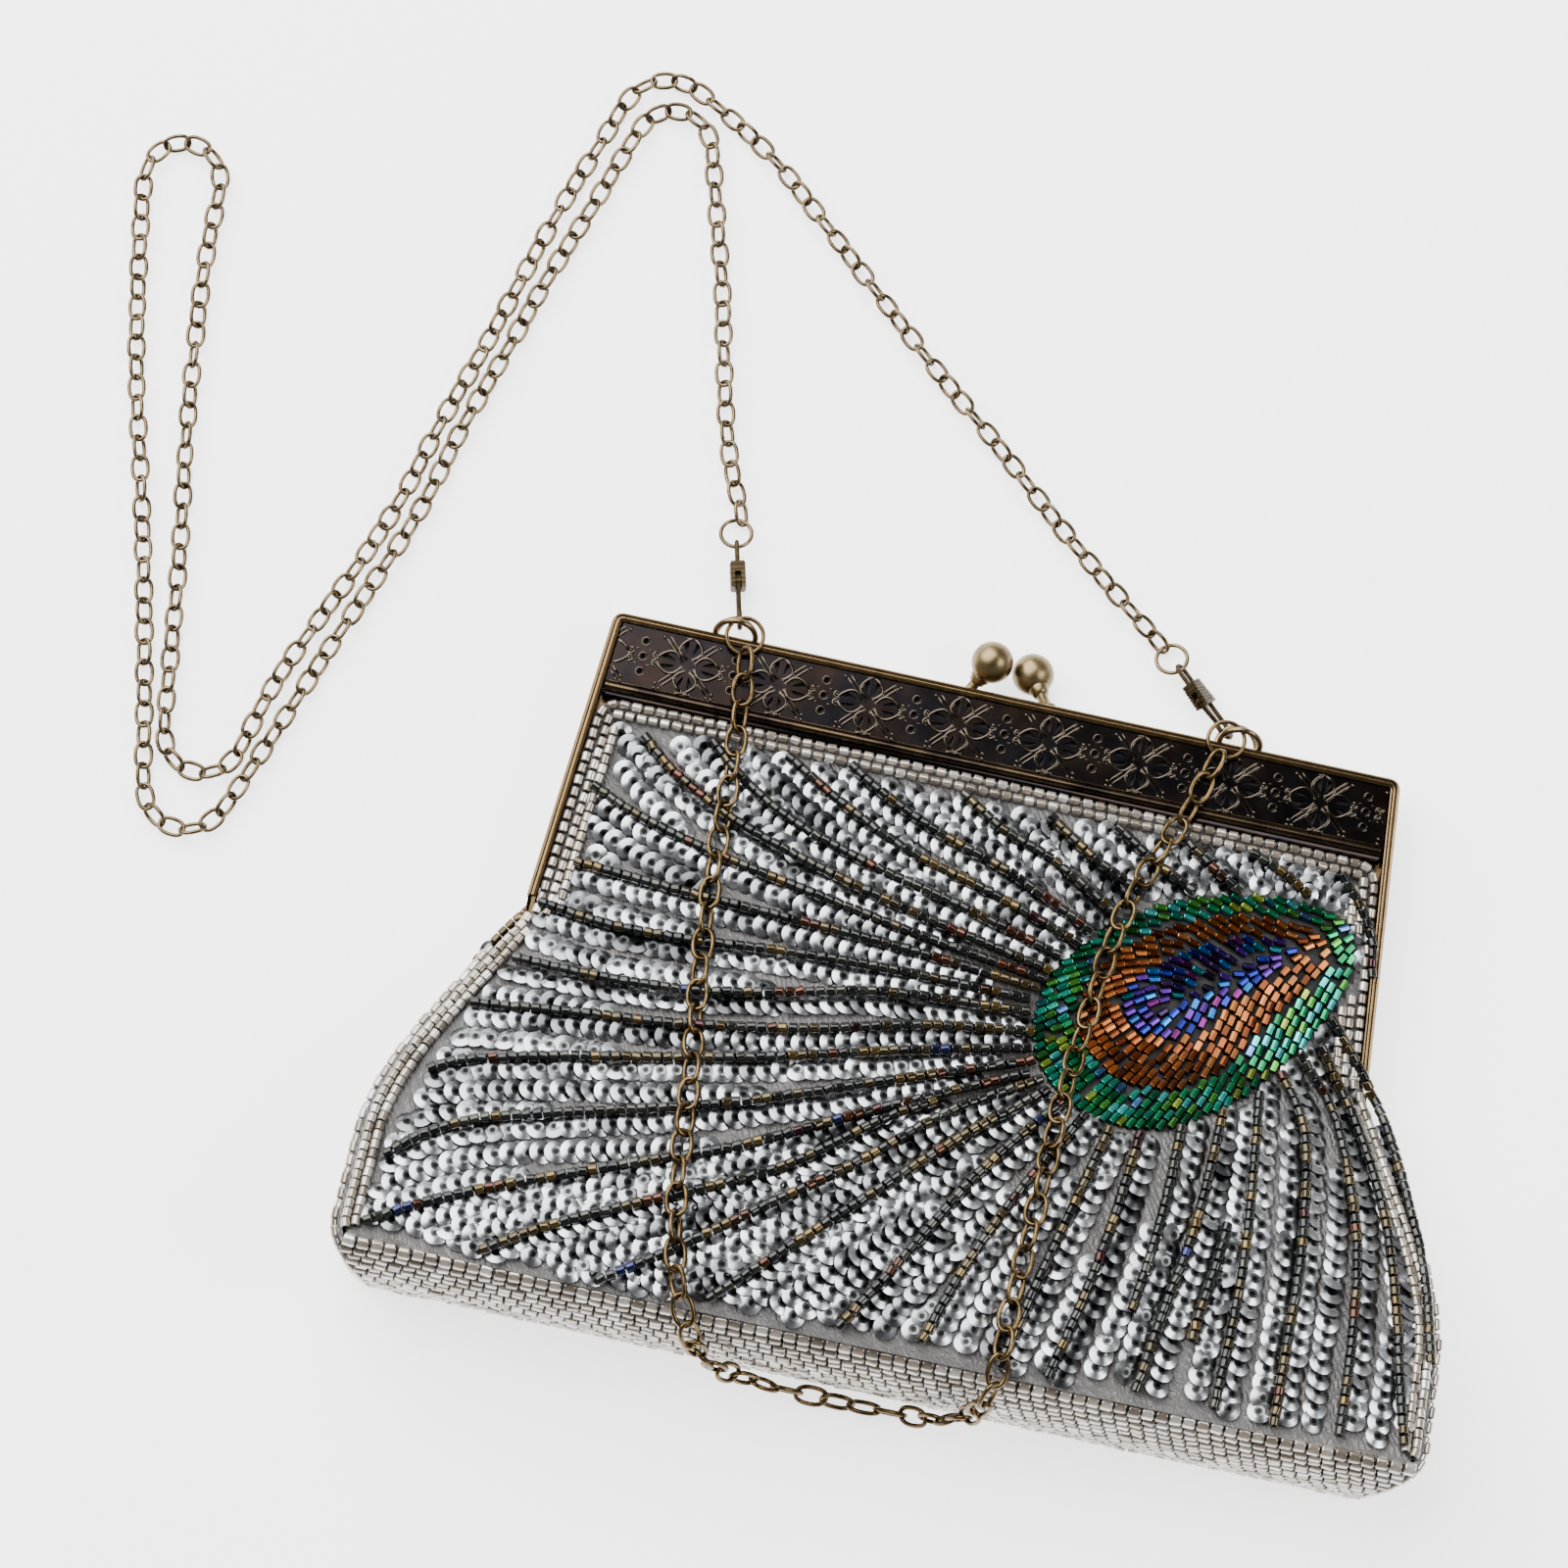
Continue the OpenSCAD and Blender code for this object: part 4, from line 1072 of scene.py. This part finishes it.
def side_wall(name, side, y0, y1, inset, thick, foot, gap, mat):
    """A side wall with a soft crease half way up, where it folds inward."""
    t = np.linspace(0, 1, 16)
    ys = y0 + (y1 - y0) * np.linspace(0, 1, 70) ** 1.5
    high = foot + (side_top(ys, gap)[:, None] - foot) * t[None]
    y = np.repeat(ys[:, None], len(t), 1)
    crease = 0.5 * np.exp(-((t[None] - 0.5) / 0.12) ** 2)
    x = half_w(y) - inset - crease - 0.15 * np.abs(np.sin(y * 0.8 + 3 * t[None]))
    outer, inner = np.stack([side * x, y, high], 2), np.stack([side * (x - thick), y, high], 2)
    top, bottom = (outer, inner) if side > 0 else (inner, outer)
    return slab(name, top, bottom, mat, len(t), len(ys))


for side, word in ((-1, "left"), (1, "right")):
    attach(side_wall(word + "_side_cloth", side, 0.2 - DROP, -9, 0.1, 1.2, 2.5, 0.2, CLOTH),
        ROOT, "sequin_embroidery", "side_gusset_" + word)
    attach(side_wall(word + "_side_lining", side, HEM, -16, 3.4, 0.35, 3.5, 4.9, LINING),
        ROOT, "satin_lining", "lining_" + word)


def base_sheet(name, zs, half, y_of, thick, mat):
    """A sheet of the base, which stands on edge between the front seam and the rear panel."""
    us = np.linspace(-1, 1, NU)[None]
    z = np.repeat(zs[:, None], NU, 1)
    x = us * half(z)
    y = y_of(us, x, z)
    return slab(name, np.stack([x, y, z], 2), np.stack([x, y + thick, z], 2), mat, NU, len(zs))


attach(base_sheet("base_cloth", np.linspace(2.5, SEAM_Z - 2.3 + 2.4, 24), lambda z: half_w(base_y(z)) - 2.1,
    lambda us, x, z: base_y(z) + 0.3 + 0.12 * np.sin(us * 90 + z * 0.7), 1.3, CLOTH),
    ROOT, "satin_lining", "base_gusset")
attach(base_sheet("base_lining", np.linspace(3.7, 35.4, 20), lambda z: np.full_like(z, 108.6),
    lambda us, x, z: -82.6 + pucker(x * 0.3, z * 0.4, 0.12), 0.35, LINING),
    ROOT, "satin_lining", "lining_base")

# ---- base and side beadwork
base = Parts()
for row, z in enumerate(np.linspace(1.9, SEAM_Z - 0.6, 12)):
    y = float(base_y(z))
    half = float(half_w(max(y, -DROP + 0.4))) - 0.5
    n = int(2 * half / BASE_PITCH)
    xs = (np.arange(n) + 0.5) / n * 2 * half - half + (0.6 if row % 2 else -0.6)
    slope = float(base_y(z + 1) - base_y(z - 1)) / 2
    nrm = np.tile(unit(np.array([[0, -1.0, slope]]))[0], (n, 1))
    at = np.column_stack([xs, np.full(n, y), np.full(n, z)]) + nrm * (0.3 + rng.normal(0, 0.1, (n, 1)))
    ahead = unit(np.tile([1.0, 0, 0], (n, 1)) + rng.normal(0, 0.05, (n, 3)))
    base.stamps(BASE_BEAD, at, axes_from(ahead, nrm), clear_tints(n))
attach(base.make("base_beads", CLEAR, 50), ROOT, "clear_beadwork")

sides = Parts()
for side in (-1, 1):
    for z in np.arange(1.5, 42, 2.92):
        ys = np.concatenate([[-88.75, -88.65, -88.5], np.linspace(-88.3, -8, 160)])
        ys = ys[side_top(ys, 0.2) > z + 0.9]
        if len(ys) < 4:
            continue
        line = np.column_stack([side * (half_w(ys) - 0.1), ys, np.full(len(ys), z)])
        n = int(length_of(line) / SIDE_PITCH)
        if n < 2:
            continue
        at, ahead = spaced(line, n)
        nrm = unit(np.cross(ahead, np.tile([0, 0, 1.0], (n, 1))))
        nrm = np.where(nrm[:, :1] * side > 0, nrm, -nrm)
        sides.stamps(SIDE_BEAD, at + nrm * 0.3, axes_from(ahead, nrm), clear_tints(n))
attach(sides.make("side_beads", CLEAR, 50), ROOT, "clear_beadwork")

# ---- snap hooks: grip ribs and gate springs
def hook_axes(heading, roll):
    """A hook's own x, y and z as columns, from where it points and how it is rolled, in degrees."""
    a, b = math.radians(heading), math.radians(roll)
    heads = np.array([[math.cos(a), -math.sin(a), 0], [math.sin(a), math.cos(a), 0], [0, 0, 1]])
    return heads @ np.array([[math.cos(b), 0, math.sin(b)], [0, 1, 0], [-math.sin(b), 0, math.cos(b)]])


def grip_ribs(name, turned, at):
    """Ribs across a hook's grip, on three sides of it; the fourth is the gate's."""
    parts = Parts()
    for y in np.arange(7.8, 13.9, 0.82):
        wide, thick = 3.0 - (y - 7.4) * 0.12, 1.62
        upper = [[-wide + 0.1, thick], [0, thick], [wide - 0.5, thick], [wide, thick - 0.5]]
        path = np.array([[x, y, z] for x, z in upper] + [[x, y, -z] for x, z in upper[::-1]])
        parts.add(sweep(path @ turned.T + at, [0.2] + [0.3] * 6 + [0.2], 10, up_hint=turned[:, 1]))
    return parts.make(name, HOOK)


def leaf_spring(name, turned, at):
    """The leaf behind a gate, in short steps."""
    y = np.repeat(np.linspace(6.3, 9.7, 12)[:, None], 2, 1)
    z = np.repeat([[-0.45, 0.45]], 12, 0)
    sides = [np.stack([np.full(y.shape, x), y, z], 2) @ turned.T + at for x in (-0.94, -0.76)]
    return slab(name, sides[0], sides[1], STEEL, 2, 12)


# where each hook holds its lug, how it points and how it is rolled, as in the CAD model
HOOKS = [("left", -66.0, math.pi / 2, 14, 90), ("right", 56.0, math.radians(135), 47, 55)]
for word, x, arc, heading, roll in HOOKS:
    at = np.array([x + 4.8 * math.cos(arc), FRAME_H + 1.5 + 4.8 * math.sin(arc), CLOSE_Z - 3.2])
    turned = hook_axes(heading, roll)
    attach(grip_ribs(word + "_hook_ribs", turned, at), ROOT, "antique_brass")
    leaf = leaf_spring(word + "_leaf_spring", turned, at)
    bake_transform(leaf)
    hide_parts(word + "_gate_spring")

# ---- CAD pieces that keep their own shape
KEPT = (
    (BRASS, "hinge_pins front_lug_left front_lug_right rear_lug_left rear_lug_right"),
    (COPPERY, "short_ring_left short_ring_right"), (CHAIN, "long_ring_left long_ring_right"),
    (HOOK, "left_hook right_hook left_gate right_gate gate_pins"), (BOARD, "base_board"))
for mat, names in KEPT:
    for name in names.split():
        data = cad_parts[name].data
        data.materials.clear()
        data.materials.append(mat)
        data.shade_smooth()
        data.set_sharp_from_angle(angle=math.radians(35))

# ---- floor and light
bpy.ops.mesh.primitive_plane_add(size=8, location=(0, 0, -0.0002))
floor = bpy.context.object
floor.name = "floor"
floor.data.materials.append(FLOOR)
glow = FLOOR.node_tree.nodes["Principled BSDF"]
glow.inputs["Emission Color"].default_value = (1, 1, 1, 1)
glow.inputs["Emission Strength"].default_value = 2.0

# a studio tent: bright all round, dimmer straight above where the camera looks through
world = bpy.data.worlds.new("studio")
world.use_nodes = True
tree = world.node_tree
split, shade = node(tree, "SeparateXYZ"), node(tree, "ValToRGB")
for output, socket in ((node(tree, "TexCoord").outputs["Generated"], split.inputs[0]),
        (split.outputs["Z"], shade.inputs["Fac"]),
        (shade.outputs["Color"], tree.nodes["Background"].inputs["Color"])):
    tree.links.new(output, socket)
stops = shade.color_ramp.elements
stops[0].color, stops[1].color = (0.4, 0.4, 0.4, 1), (0.04, 0.04, 0.042, 1)
for at, grey in ((0.35, 0.42), (0.75, 0.32), (0.92, 0.06)):
    stops.new(at).color = (grey, grey, grey, 1)
bpy.context.scene.world = world


def softbox(name, at, size, power):
    light = bpy.data.lights.new(name, "AREA")
    light.shape, light.size, light.energy = "SQUARE", size, power
    obj = bpy.data.objects.new(name, light)
    obj.location = at
    obj.rotation_euler = (Vector((-0.03, 0.02, 0)) - Vector(at)).to_track_quat("-Z", "Y").to_euler()
    bpy.context.scene.collection.objects.link(obj)


softbox("key", (-0.95, 0.85, 1.35), 2.2, 125)
softbox("fill", (1.1, 0.1, 1.2), 0.7, 16)
